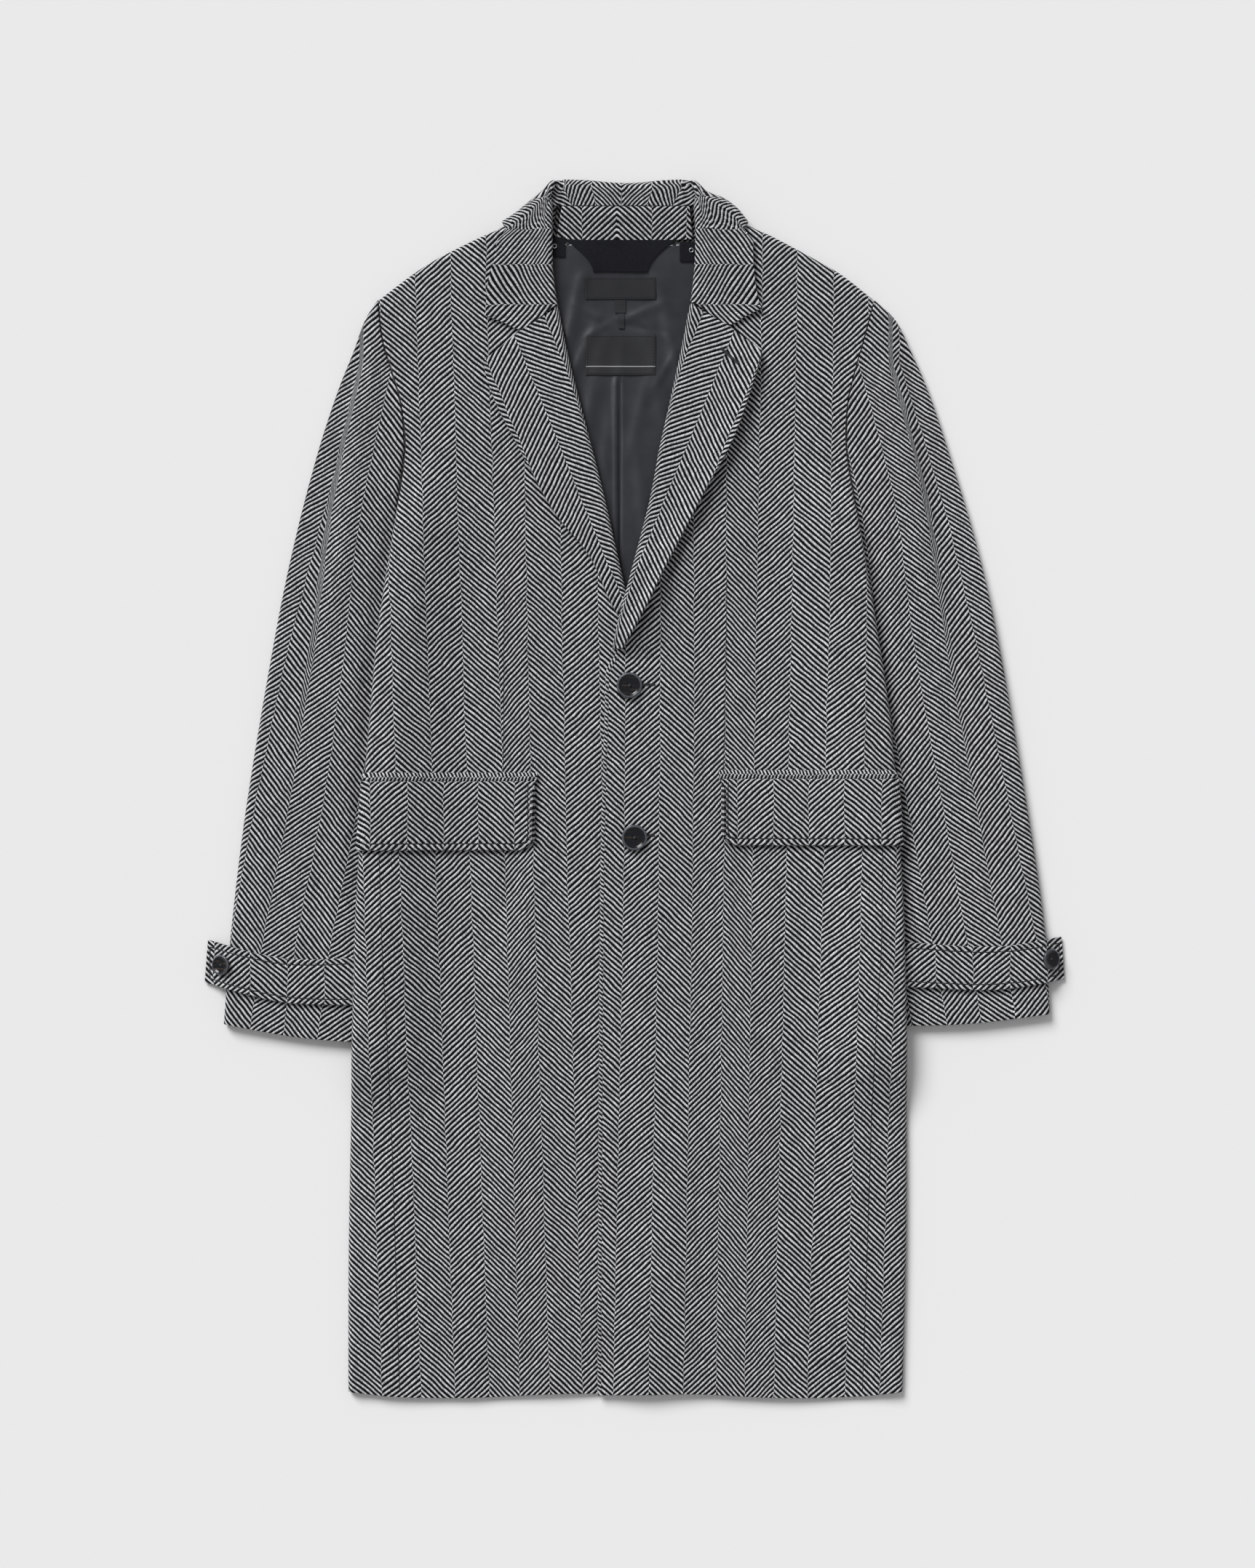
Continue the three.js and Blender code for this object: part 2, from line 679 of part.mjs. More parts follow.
function collarHalf(side) {
  const s = sign[side];
  const leafTop = (x, y, u) => {
    const lifted = LEAF_LIFT.roll * ease((0.5 - u) / 0.4) + LEAF_LIFT.edge * u ** 3;
    return frontTop(side, x, y) + TURNED + REST + lifted;
  };
  const rollYs = [GORGE[side] + SEAM, 459, 497, 519];
  const corner = COLLAR_SHOULDER[side][0];
  const roll = spline([...rollYs.map((y) => [s * rollLine[side](y), y]), [s * corner.x, corner.y]]);
  const edge = spline(LEAF_EDGE[side].map(({ x, y }) => [s * x, y]));
  const notch = [s * NOTCH[side][0], NOTCH[side][1] + 2 * SEAM];
  const gorge = path([roll(0), notch, edge(0)], [0, 0.5, 1]);
  const shoulder = spline([...COLLAR_SHOULDER[side].map(({ x, y }) => [s * x, y]), edge(1)]);
  const patch = coons(roll, edge, gorge, (u) => shoulder(u));
  const height = BODY + ON_COLLAR.lift + TURNED + 2 * REST;
  const leafRadius = ROLL.full;
  const rollBase = (y) => frontTop(side, s * rollLine[side](y), y) - WOOL + leafRadius;
  const sections = LEAF_ROWS.map((v) => {
    const [x, y] = patch(0, v);
    return collarSection({
      roll: [x, y, rollBase(y)],
      facing: [-s, 0, 0],
      turn: [0, 0, 1],
      radius: leafRadius,
      band: [x + s * (leafRadius + BAND), y, rollBase(y) - leafRadius],
      fall: COLLAR_FALL.map((u) => () => {
        const [px, py] = patch(u, v);
        return [px, py, leafTop(px, py, u)];
      }),
    });
  });
  // Round the shoulder, where the fall turns over and the roll swings across to the back
  TURN_ANGLES.forEach((degrees, k) => {
    const t = (k + 0.5) / TURN_ANGLES.length;
    const angle = radians(degrees);
    const half = height / 2;
    const inward = half * (1 - Math.cos(angle));
    const swing = ease(t);
    const z = mix([rollBase(530)], [BACK_ROLL], swing)[0];
    const rollPoint = [s * (corner.x - 4 - 8 * swing * t), COLLAR_BACK.roll - 5 * (1 - swing), z];
    sections.push(
      collarSection({
        roll: rollPoint,
        facing: [-s * (1 - swing), 0.15 + swing, 0],
        turn: [s * Math.sin(Math.PI * t), 0, Math.cos(Math.PI * t)],
        radius: mix([leafRadius], [BACK_ROLL], swing)[0],
        band: mix(
          [s * (rollLine[side](525) + leafRadius), 522, rollBase(525) - leafRadius],
          [s * (rollLine[side](525) - 2), COLLAR_BACK.seam, BAND_TOP],
          swing,
        ),
        fall: COLLAR_FALL.map((u) => () => {
          const [px, py] = shoulder(u);
          const reach = inward * ease(u / 0.4);
          return [px - s * reach * 0.5, py - reach * 0.85, half + half * Math.sin(angle) + (1 - u) * 0.5];
        }),
      }),
    );
  });
  // Behind the neck, with the fall underneath
  for (const t of BACK_STEPS) {
    const x = s * (COLLAR_BACK.corner - 4) * (1 - t);
    const y = COLLAR_BACK.roll - COLLAR_BACK.sag * ease(t);
    const end = LEAF_EDGE[side].at(-1);
    const edgeEnd = mix([s * (end.x - 8), end.y - 14], [0, COLLAR_BACK.fall], ease(t * 0.8 + 0.2));
    sections.push(backSection(x, y, edgeEnd));
  }
  return sections;
}

function backSection(x, y, edgeEnd) {
  return collarSection({
    roll: [x, y, BACK_ROLL],
    facing: [0, 1, 0],
    turn: [0, 0, -1],
    radius: BACK_ROLL,
    band: [x, COLLAR_BACK.seam, BAND_TOP],
    fall: COLLAR_FALL.map((u) => (start) => {
      const [px, py] = mix(start.slice(0, 2), edgeEnd, u);
      return [px, py, 0];
    }),
  });
}

function collar() {
  const centre = backSection(0, COLLAR_BACK.roll - COLLAR_BACK.sag, [0, COLLAR_BACK.fall]);
  const stations = [...collarHalf("right"), centre, ...collarHalf("left").reverse()];
  const grid = centre.map((_, i) => stations.map((section) => section[i]));
  return wall(grid, TURNED);
}

// A flat piece between two edges, on the surface of given height
function layer(rows, columns, left, right, top, thickness) {
  const grid = rows.map((v) => columns.map((u) => {
    const [x, y] = mix(left(v), right(v), u);
    return [x, y, top(x, y)];
  }));
  return wall(grid, thickness);
}
const straight = (from, to) => (t) => mix(from, to, t);

const liningTop = (x, y) => bed(x, y) + WOOL + 2 * SEAM + LINING;
const facingTop = (x, y) => liningTop(x, y) + SEAM + FACING;

const group = new THREE.Group();
const looks = {
  wool: { color: "#3b3e46", roughness: 0.95, metalness: 0 },
  facing: { color: "#17181c", roughness: 0.97, metalness: 0 },
  satin: { color: "#3d3d42", roughness: 0.42, metalness: 0 },
  label: { color: "#1b1b1f", roughness: 0.6, metalness: 0 },
  horn: { color: "#15171f", roughness: 0.25, metalness: 0 },
  metal: { color: "#8d9096", roughness: 0.35, metalness: 1 },
};
function add(name, geometry, look) {
  const mesh = new THREE.Mesh(geometry, new THREE.MeshStandardMaterial(looks[look]));
  mesh.name = name;
  group.add(mesh);
  return mesh;
}

add("back", back(), "wool");
for (const side of ["left", "right"]) {
  add(`front_${side}`, front(side), "wool");
  add(`sleeve_${side}`, sleeve(side), "wool");
  add(`lapel_${side}`, lapel(side), "wool");
}
add("collar", collar(), "wool");

// Stand of the collar, between the neck seam and the collar's own seam
function collarStand() {
  const [low, high] = [NECK_SEAM + 1.2, COLLAR_BACK.seam - SEAM];
  const base = ON_COLLAR.lift + WOOL;
  const top = (x, y) => base + STAND_RISE * ease((y - low) / (high - low));
  const hollow = (x) => low + 2 * (x / 60) ** 2;
  const grid = evenly(4).map((v) => evenly(8).map((u) => {
    const x = 122 * u - 62 + v * (5 - 8 * u);
    const y = hollow(x) + (high - hollow(x)) * v;
    return [x, y, top(x, y)];
  }));
  return wall(grid, TURNED);
}
add("collar_stand", collarStand(), "wool");

// Lining of the back, which shows between the lapels
const LINING_ROWS = [160, 200, 245, 290, 335, 380, 410, 436, 444, 453, 462, 470, 480];
function liningBack() {
  const at = (side) => (v) => {
    const y = LINING_ROWS[0] + v * (LINING_ROWS.at(-1) - LINING_ROWS[0]);
    return [sign[side] * (rollLine[side](y) + 12), y];
  };
  const span = LINING_ROWS.at(-1) - LINING_ROWS[0];
  const rows = LINING_ROWS.map((y) => (y - LINING_ROWS[0]) / span);
  return layer(rows, evenly(6), at("right"), at("left"), liningTop, LINING);
}
add("lining_back", liningBack(), "satin");

// Neck facing inside the back, with hollowed sides
const FACING_SHAPE = { top: 489, bottom: 460.5, left: 45.5, right: -53.3, lowerLeft: 19.5, lowerRight: -29 };
function neckFacing() {
  const { top, bottom, left, right, lowerLeft, lowerRight } = FACING_SHAPE;
  const edge = (wide, narrow) => (v) => [narrow + (wide - narrow) * v ** 1.7, bottom + (top - bottom) * v];
  return layer(evenly(5), evenly(4), edge(right, lowerRight), edge(left, lowerLeft), facingTop, FACING);
}
add("neck_facing", neckFacing(), "facing");

// Woven labels and their tabs, blank, on the lining
const LABELS = table(
  ["name", "right", "left", "bottom", "top"],
  [
    ["label_upper", -36.4, 26.7, 436.6, 456.2],
    ["label_lower", -35.8, 26.6, 369, 405.3],
    ["size_tab", -9.8, 0, 424.4, 435.8],
    ["care_tab", -6.5, -1.3, 410.5, 423.8],
  ],
);
for (const { name, right, left, bottom, top } of LABELS) {
  const surface = (x, y) => liningTop(x, y) + SEAM + LABEL;
  const [from, to] = [straight([right, bottom], [right, top]), straight([left, bottom], [left, top])];
  add(name, layer(evenly(3), evenly(3), from, to, surface, LABEL), "label");
}

// Cloth tabs with an eyelet, at the ends of the neck facing
const SNAP_TABS = table(
  ["side", "inner", "outer", "bottom", "top", "eyeX", "eyeY"],
  [
    ["left", 48.1, 61.6, 469.6, 487.4, 58.5, 479.7],
    ["right", 54, 66.4, 473.8, 491.4, 63.4, 483.3],
  ],
);
const EYELET = { outer: 2.3, inner: 1.2, height: 0.7 };
function eyelet() {
  const { outer, inner, height } = EYELET;
  const ringShape = new THREE.Shape().absarc(0, 0, outer, 0, 2 * Math.PI);
  ringShape.holes.push(new THREE.Path().absarc(0, 0, inner, 0, 2 * Math.PI));
  return new THREE.ExtrudeGeometry(ringShape, { depth: height, bevelEnabled: false, curveSegments: 6 });
}
for (const { side, inner, outer, bottom, top, eyeX, eyeY } of SNAP_TABS) {
  const s = sign[side];
  const surface = (x, y) => liningTop(x, y) + SEAM + TAB;
  const edge = (x) => straight([x, bottom], [x, top]);
  const [from, to] = side === "left" ? [edge(inner), edge(outer)] : [edge(-outer), edge(-inner)];
  add(`snap_tab_${side}`, layer(evenly(3), evenly(2), from, to, surface, TAB), "facing");
  const ring = add(`eyelet_${side}`, eyelet(), "metal");
  ring.position.set(eyeX * s, eyeY, surface(eyeX * s, eyeY) + 0.3);
}

// Height of a front's face with its rounded side
const frontSurface = (side, x, y) =>
  frontTop(side, x, y) - foldDrop(bodyEdge[side](y) - Math.abs(x)) * sideFold(y);

// Strip that lies on a front from an inner x out to its rounded side, between a lower and an upper edge
const STRIP_STEPS = [0, 1.6, 4.5, 8.5, 14, 34, 56];
const STRIP_INSETS = [74, 52, 32, 14, 8, ...[...FOLD_INSETS].reverse().slice(0, -1)];
function frontStrip(side, inner, rows, lower, upper, surface) {
  const s = sign[side];
  const beyond = STRIP_STEPS.at(-1);
  const width = bodyEdge[side]((lower(beyond) + upper(beyond)) / 2) - inner;
  const columns = [...STRIP_STEPS.map((step) => ({ step })), ...STRIP_INSETS.map((inset) => ({ inset }))];
  return rows.map((v) =>
    columns.map(({ step, inset }) => {
      const along = step ?? width - inset;
      const y = lower(along) + (upper(along) - lower(along)) * v;
      const out = step === undefined ? bodyEdge[side](y) - inset : inner + step;
      return [s * out, y, surface(s * out, y)];
    }),
  );
}

// Pocket flap with a rounded inner corner, and the welt of the pocket's mouth above it. The corner's arc
// starts a little way round, where it no longer runs straight down.
for (const side of ["left", "right"]) {
  const { inner, top, bottom } = FLAP_PLACE[side];
  const { corner, arcStart } = FLAP;
  const rounded = (along) => {
    const left = Math.max(0, corner - arcStart - along);
    return bottom + corner - Math.sqrt(corner ** 2 - left ** 2);
  };
  const surface = (x, y) => frontSurface(side, x, y);
  const flap = frontStrip(side, inner, [0, 0.12, 0.4, 0.7, 1], rounded, () => top, surface);
  const outer = sided(side, flap);
  add(`flap_${side}`, wall(raised(outer, FLAP.lift + FLAP.wall), FLAP.wall), "wool");
  const mouth = top + WELT.gap;
  const weltTop = mouth + WELT.height;
  const welt = frontStrip(side, inner - WELT.past, evenly(2), () => mouth, () => weltTop, surface);
  const weltOuter = sided(side, welt);
  add(`welt_${side}`, wall(raised(weltOuter, WELT.lift + WELT.wall), WELT.wall), "wool");
}

// Cuff strap, lying across the sleeve, with its end standing out past the sleeve's edge
const sleeveOuter = (side) => {
  const patch = sleevePatch(side);
  const points = evenly(60).map((v) => patch(1, v * 0.3));
  return (y) => Math.abs(points.reduce((a, b) => (Math.abs(b[1] - y) < Math.abs(a[1] - y) ? b : a))[0]);
};
const strapTop = (side, past) => {
  const { lift, wall: thickness, droop, start } = STRAP;
  return BODY + lift + thickness - droop * ease((start + past) / (start + STRAP.past[side]));
};
function cuffStrap(side) {
  const outerAt = sleeveOuter(side);
  const edges = STRAP_EDGE[side];
  const [top, bottom] = [reader(edges, "along", "top"), reader(edges, "along", "bottom")];
  const columns = [0, 0.14, 0.3, 0.46, 0.6, 0.7, 0.78, 0.84, 0.89, 0.94, 1];
  const grid = [0, 0.1, 0.5, 0.9, 1].map((v) =>
    columns.map((along) => {
      const y = bottom(along) + (top(along) - bottom(along)) * v;
      const outer = outerAt(y);
      const inner = bodyEdge[side](y) - STRAP.tuck;
      const x = inner + (outer + STRAP.past[side] - inner) * along;
      return [sign[side] * x, y, strapTop(side, x - outer)];
    }),
  );
  return wall(sided(side, grid), STRAP.wall);
}
for (const side of ["left", "right"]) add(`cuff_strap_${side}`, cuffStrap(side), "wool");

// A solid for cutting, from a closed geometry, and back to a geometry
function solid(geometry) {
  const plain = geometry.clone();
  plain.deleteAttribute("normal");
  plain.deleteAttribute("uv");
  const merged = mergeVertices(plain, 1e-4);
  return new wasm.Manifold(
    new wasm.Mesh({
      numProp: 3,
      vertProperties: new Float32Array(merged.attributes.position.array),
      triVerts: new Uint32Array(merged.index.array),
    }),
  );
}
function geometryOf(manifold) {
  const { vertProperties, triVerts } = manifold.getMesh();
  const geometry = new THREE.BufferGeometry();
  geometry.setAttribute("position", new THREE.BufferAttribute(new Float32Array(vertProperties), 3));
  geometry.setIndex(new THREE.BufferAttribute(new Uint32Array(triVerts), 1));
  return geometry;
}

// Four-hole button with a raised rim, standing on z = 0
function button({ radius, height, rim, well, hole, spread }) {
  const profile = [
    [0, 0],
    [radius - 1.4, 0],
    [radius - 0.2, height * 0.4],
    [radius - 0.3, height - 0.7],
    [radius - 0.9, height],
    [radius - rim - 0.9, height],
    [radius - rim - 2, height - well],
    [0, height - well],
  ].map(([x, y]) => new THREE.Vector2(x, y));
  const disc = new THREE.LatheGeometry(profile, 20).rotateX(Math.PI / 2);
  let result = solid(disc);
  for (const [i, j] of [[-1, -1], [-1, 1], [1, -1], [1, 1]]) {
    const pin = new THREE.CylinderGeometry(hole, hole, 3 * height, 8).rotateX(Math.PI / 2);
    pin.translate((i * spread) / 2, (j * spread) / 2, height / 2);
    result = result.subtract(solid(pin));
  }
  return geometryOf(result);
}
for (const { name, x, y } of FRONT_BUTTONS) {
  const mesh = add(name, button(BUTTON), "horn");
  mesh.position.set(x, y, frontTop("left", x, y) + 0.8);
}

// Cuff buttons, near the end of each strap and leaning with it
const CUFF_BUTTON_PLACE = { left: { x: 377.6, y: -151.5 }, right: { x: 359.5, y: -157 } };
const CUFF_BUTTON_GAP = 1.1;
for (const side of ["left", "right"]) {
  const { x, y } = CUFF_BUTTON_PLACE[side];
  const past = x - sleeveOuter(side)(y);
  const lean = Math.atan(strapTop(side, past - 0.5) - strapTop(side, past + 0.5));
  const mesh = add(`cuff_button_${side}`, button(CUFF_BUTTON), "horn");
  mesh.position.set(sign[side] * x, y, strapTop(side, past) + CUFF_BUTTON_GAP);
  mesh.rotation.y = sign[side] * lean;
}

// Origin under the middle of the whole coat, on the surface that it lies on
group.updateMatrixWorld(true);
const extent = new THREE.Box3().setFromObject(group, true);
group.position.set(-(extent.min.x + extent.max.x) / 2, -(extent.min.y + extent.max.y) / 2, -extent.min.z);

export default group;
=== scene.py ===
import math
from bisect import bisect_right
from functools import lru_cache

import bmesh
import bpy
from mathutils import Matrix, Vector, noise
from mathutils.bvhtree import BVHTree


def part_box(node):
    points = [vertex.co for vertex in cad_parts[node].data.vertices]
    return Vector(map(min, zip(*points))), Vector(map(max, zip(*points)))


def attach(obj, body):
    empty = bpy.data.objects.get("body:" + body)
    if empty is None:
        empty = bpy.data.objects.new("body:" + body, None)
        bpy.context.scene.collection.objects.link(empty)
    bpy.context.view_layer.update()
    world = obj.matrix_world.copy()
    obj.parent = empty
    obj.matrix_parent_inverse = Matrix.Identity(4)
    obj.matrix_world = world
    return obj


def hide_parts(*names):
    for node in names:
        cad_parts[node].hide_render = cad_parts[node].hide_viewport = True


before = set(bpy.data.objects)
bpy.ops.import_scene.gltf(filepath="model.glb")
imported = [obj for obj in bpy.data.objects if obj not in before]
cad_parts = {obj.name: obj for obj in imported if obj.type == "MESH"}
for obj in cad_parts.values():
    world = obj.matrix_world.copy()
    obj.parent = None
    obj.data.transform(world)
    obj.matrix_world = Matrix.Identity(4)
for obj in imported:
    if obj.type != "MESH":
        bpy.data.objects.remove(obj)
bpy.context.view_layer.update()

# Lengths are in millimetres, on the coat's own lines: x across it towards the wearer's left, y from the
# hem to the collar, z up from the surface. The top button's place on those lines gives the shift to the
# frame's origin.
MM = 0.001
TOP_BUTTON = (3.3, 92)
button_low, button_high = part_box("button_top")
SHIFT_X = (button_low.x + button_high.x) / 2 / MM - TOP_BUTTON[0]
SHIFT_Y = (button_low.y + button_high.y) / 2 / MM - TOP_BUTTON[1]

# Thicknesses and clearances
WOOL = 3
BODY = 9.8
FOLD = BODY / 2
FOLD_GAP = 0.95
SEAM = 0.5
LINING = 0.6
FACING = 1
LABEL = 0.6
TAB = 1
CLOTH = 2.4
SLEEVE_CLOTH = 2
TURNED_CLOTH = 2.2

# Lifts of one piece where it lies on another, and the run over which each lift eases in and out
ON_SLEEVE = dict(lift=11.2, top=300, top_run=80, foot=-300, foot_run=72, inset=94, inset_run=80)
ON_STRAP = dict(lift=14.8, top=-78, top_run=40)
ON_COLLAR = dict(lift=3.4, y=420, run=56, half_width=152, side_run=28)
ON_FRONT = dict(lift=3.5, x=92, run=44, top=240, top_run=36)
ON_LAPEL = dict(lift=6, half_width=40, side_run=18, y=168, half_height=52, run=22)

# Rolls of the lapels and collar
ROLL = dict(foot=2.4, full=3.8)
ROLL_SET = 2.8
BACK_ROLL = 5.6
REST = 0.8
TURNED = 2.6

# Trim
FRONT_BUTTONS = {"button_top": (3.3, 92), "button_bottom": (7.8, -43.5)}
BUTTON = dict(radius=11.5, height=3.6, rim=1.6, well=1.7, hole=1.1, spread=2.5)
CUFF_BUTTON = dict(radius=9.2, height=3.2, rim=1.4, well=1.3, hole=0.9, spread=2.0)
CUFF_BUTTONS = {"left": (377.6, -151.5), "right": (359.5, -157)}
CUFF_BUTTON_GAP = 1.1
FLAP = dict(wall=3, lift=0.9, corner=14.5, cloth=2.6, short=0.66)
WELT = dict(wall=2.2, lift=0.9, height=5.5, gap=0.8, past=2, cloth=1.8)
STRAP = dict(wall=3, lift=0.8, past=dict(left=14.5, right=20), droop=9.4, start=5, tuck=9, cloth=2.5)
NECK_SEAM = 487
STAND_RISE = 3.8

# How much the steps of a panel's mesh close up towards its folded edges
CROWDED = dict(side=1.5, top=1.4, sleeve=1.25)


def table(columns, rows):
    """Rows of numbers under named columns."""
    return [dict(zip(columns, row)) for row in rows]


# Half widths of the body, from the hem up the side edge and round the armhole to the shoulder tip
BODY_EDGE = table(
    ["y", "left", "right"],
    [
        [-538, 247, 247.5], [-400, 250.5, 247], [-235, 250, 243.5], [-85, 246, 239],
        [55, 236, 228.5], [145, 223, 220], [235, 208, 206], [302, 196, 196], [342, 197, 199.5],
        [370, 203, 207], [400, 211.5, 216], [436, 221, 220],
    ],
)

# Shoulder fold, from the neck point to the shoulder tip
SHOULDER = table(
    ["y", "left", "right"],
    [
        [512, 72, 72], [504, 100, 98], [496, 122, 119], [484, 147, 146], [471, 171, 171],
        [458, 193, 191], [436, 221, 220],
    ],
)

# Hem, from the middle of a panel's lower edge to the side
HEM = table(
    ["along", "y"],
    [[0, -541], [0.3, -540], [0.6, -543.5], [0.85, -542.5], [1, -538]],
)

# Front edges of the fronts below the lapels, as distances out from the centre
FRONT_EDGE = table(
    ["y", "left", "right"],
    [[-541, -24.7, -28], [-75, -22, -28], [81, -17.8, -27], [104, -17, -22]],
)

# Roll lines of the lapels and collar leaves, as distances out from the centre
ROLL_LINE = table(
    ["y", "left", "right"],
    [
        [124, -12.3, -13], [154, -5.9, -6.5], [183, 2, 1], [221, 12, 10], [261, 22, 19],
        [304, 30, 30], [344, 39, 40.5], [388, 48.5, 51.5], [428, 56.6, 59.8], [459, 60.6, 64.4],
        [497, 61.8, 65], [519, 60.4, 65], [536, 58.5, 64.4],
    ],
)
GORGE = {"left": 432, "right": 428.7}

# Free edges of the lapels, from the foot to the tip
LAPEL_EDGE = {
    "left": table(
        ["x", "y"],
        [
            [-3.9, 124], [6.5, 143], [20.2, 169], [42.3, 213], [65.7, 257], [95.6, 312],
            [115, 367], [121.6, 389.7],
        ],
    ),
    "right": table(
        ["x", "y"],
        [
            [0.5, 146], [11.7, 163.5], [31.9, 207], [63.7, 246.7], [95.6, 304.5], [115, 342],
            [124.8, 370], [125.8, 382],
        ],
    ),
}
LAPEL_FOOT = {"left": 124, "right": 146}
NOTCH = {"left": (91.7, 412), "right": (93.6, 408)}
LAPEL_LIFT = {"left": 8.6, "right": 2.0}

# Free edges of the collar leaves, from the tip to the shoulder
LEAF_EDGE = {
    "left": table(
        ["x", "y"],
        [[120.5, 427], [116, 445], [113.4, 471], [112.5, 494], [109.5, 505]],
    ),
    "right": table(
        ["x", "y"],
        [[124.8, 421], [123, 447], [117, 471], [113.5, 489], [110.5, 505.5]],
    ),
}

# Outer edge of the turned-down collar, from the roll's corner to the shoulder
COLLAR_SHOULDER = {
    "left": table(["x", "y"], [[62, 542], [74, 531.5], [88, 526], [99, 518]]),
    "right": table(["x", "y"], [[66, 543], [75, 532.5], [88, 522], [99, 513]]),
}
COLLAR_BACK = dict(roll=543.5, sag=3.2, seam=519.4, fall=481, corner=52)

# Outer edges of the sleeves, from the shoulder tip to the cuff
SLEEVE_EDGE = table(
    ["y", "left", "right"],
    [
        [418, 240.5, 232.5], [392, 253.5, 242], [354, 270, 257], [302, 287.5, 274],
        [224, 311, 294.5], [146, 329.5, 311], [-10, 357, 337.5], [-127, 374, 352],
    ],
)
CUFF = {"left": dict(outer=(378.5, -201), inner=-212), "right": dict(outer=(358.5, -210), inner=-227)}
CUFF_BULGE = 3
SLEEVE_TUCK = table(
    ["y", "tuck"],
    [[-230, 15], [140, 14], [205, 8], [240, 1], [262, -0.7], [302, -1]],
)
UNDERARM = 302
UNDERARM_RUN = 50
ARMHOLE_GAP = 1.2

# Pocket flaps: inner side, upper edge and lower edge
FLAP_PLACE = {
    "left": dict(inner=85, top=8.8, bottom=-50.5),
    "right": dict(inner=81, top=6.5, bottom=-55),
}

# Cuff straps: y of the upper and lower edges at the inner end, the middle and the outer end
STRAP_EDGE = {
    "left": table(["along", "top", "bottom"], [[0, -136, -176], [0.6, -140.5, -179], [1, -132, -170]]),
    "right": table(["along", "top", "bottom"], [[0, -150.5, -193], [0.5, -151, -190], [1, -135, -173]]),
}

# Breaks of the herringbone on each front, as x on three levels. A stripe rises away from an even break.
WEAVE_LEVELS = {"top": 445, "pocket": 22, "hem": -537}
FRONT_BREAKS = {
    "right": table(
        ["number", "top", "pocket", "hem"],
        [
            [-3, -282.8, -266.5, -248.3],
            [-2, -250.9, -236, -217.1],
            [-1, -219, -204.1, -182],
            [0, -187.2, -172.3, -152.1],
            [1, -156, -141.7, -121.6],
            [2, -124.2, -109.9, -94.3],
            [3, -93, -84.8, -67.6],
            [4, -61.8, -54, -38.4],
            [5, -30.6, -21.5, -9.8],
            [6, 0.7, 9.8, 19.5],
        ],
    ),
    "left": table(
        ["number", "top", "pocket", "hem"],
        [
            [-1, -34.5, -31.9, -42.3],
            [0, -3.3, -0.7, -11.1],
            [1, 28, 30.6, 20.2],
            [2, 59.2, 60.5, 51.4],
            [3, 90.4, 88.4, 80.6],
            [4, 121.6, 114.4, 106],
            [5, 152.8, 145, 132],
            [6, 185.3, 178.1, 161.9],
            [7, 216.5, 211.9, 195.7],
            [8, 247.7, 243.1, 226.2],
            [9, 278.9, 274.3, 257.4],
        ],
    ),
}

# The same on the sleeves: x of the two breaks that point up, the one nearer the body first
SLEEVE_BREAKS = {
    "right": table(
        ["y", "inner", "outer"],
        [
            [380, -207, -234], [250, -235, -268], [120, -251, -301.5], [-10, -269, -329],
            [-140, -294, -353.5], [-231, -307, -369],
        ],
    ),
    "left": table(
        ["y", "inner", "outer"],
        [
            [380, 207.5, 244], [250, 240.5, 284], [120, 258, 314], [-10, 281.5, 340.5],
            [-140, 305, 367], [-231, 321, 385.5],
        ],
    ),
}
SLEEVE_LEAN = 9
SLEEVE_HIDDEN = 3  # stretch in which the cloth that the long fold takes up disappears

# Soft creases of the fronts: middle, direction in degrees, length, width and height
BODY_CREASES = table(
    ["x", "y", "turn", "length", "width", "height"],
    [
        [-104, -88, 82, 95, 11, -1.5],
        [-88, -100, 80, 100, 13, 0.9],
        [106, -80, 97, 90, 11, -1.3],
        [-176, 262, 68, 120, 17, 0.9],
        [-150, 200, 82, 170, 26, -0.8],
        [-196, 120, 84, 190, 15, 0.9],
        [-120, 90, 88, 160, 30, 0.6],
        [-60, 60, 97, 150, 22, -0.7],
        [-158, -190, 86, 230, 30, -0.9],
        [-96, -250, 92, 300, 26, 1.0],
        [-52, -400, 95, 190, 22, -0.8],
        [-200, -360, 84, 260, 20, 1.0],
        [172, 262, 112, 120, 17, 0.9],
        [146, 190, 98, 170, 26, -0.8],
        [190, 100, 97, 180, 15, 0.9],
        [110, 80, 92, 160, 30, 0.6],
        [52, -150, 88, 220, 24, -0.8],
        [104, -230, 91, 280, 28, 1.0],
        [162, -330, 94, 250, 26, -0.9],
        [206, -410, 97, 200, 18, 0.9],
        [30, -430, 84, 180, 20, 0.8],
        [-138, -500, 88, 90, 16, 1.1],
        [88, -505, 93, 80, 15, 1.0],
        [-18, -505, 90, 70, 12, -0.8],
    ],
)

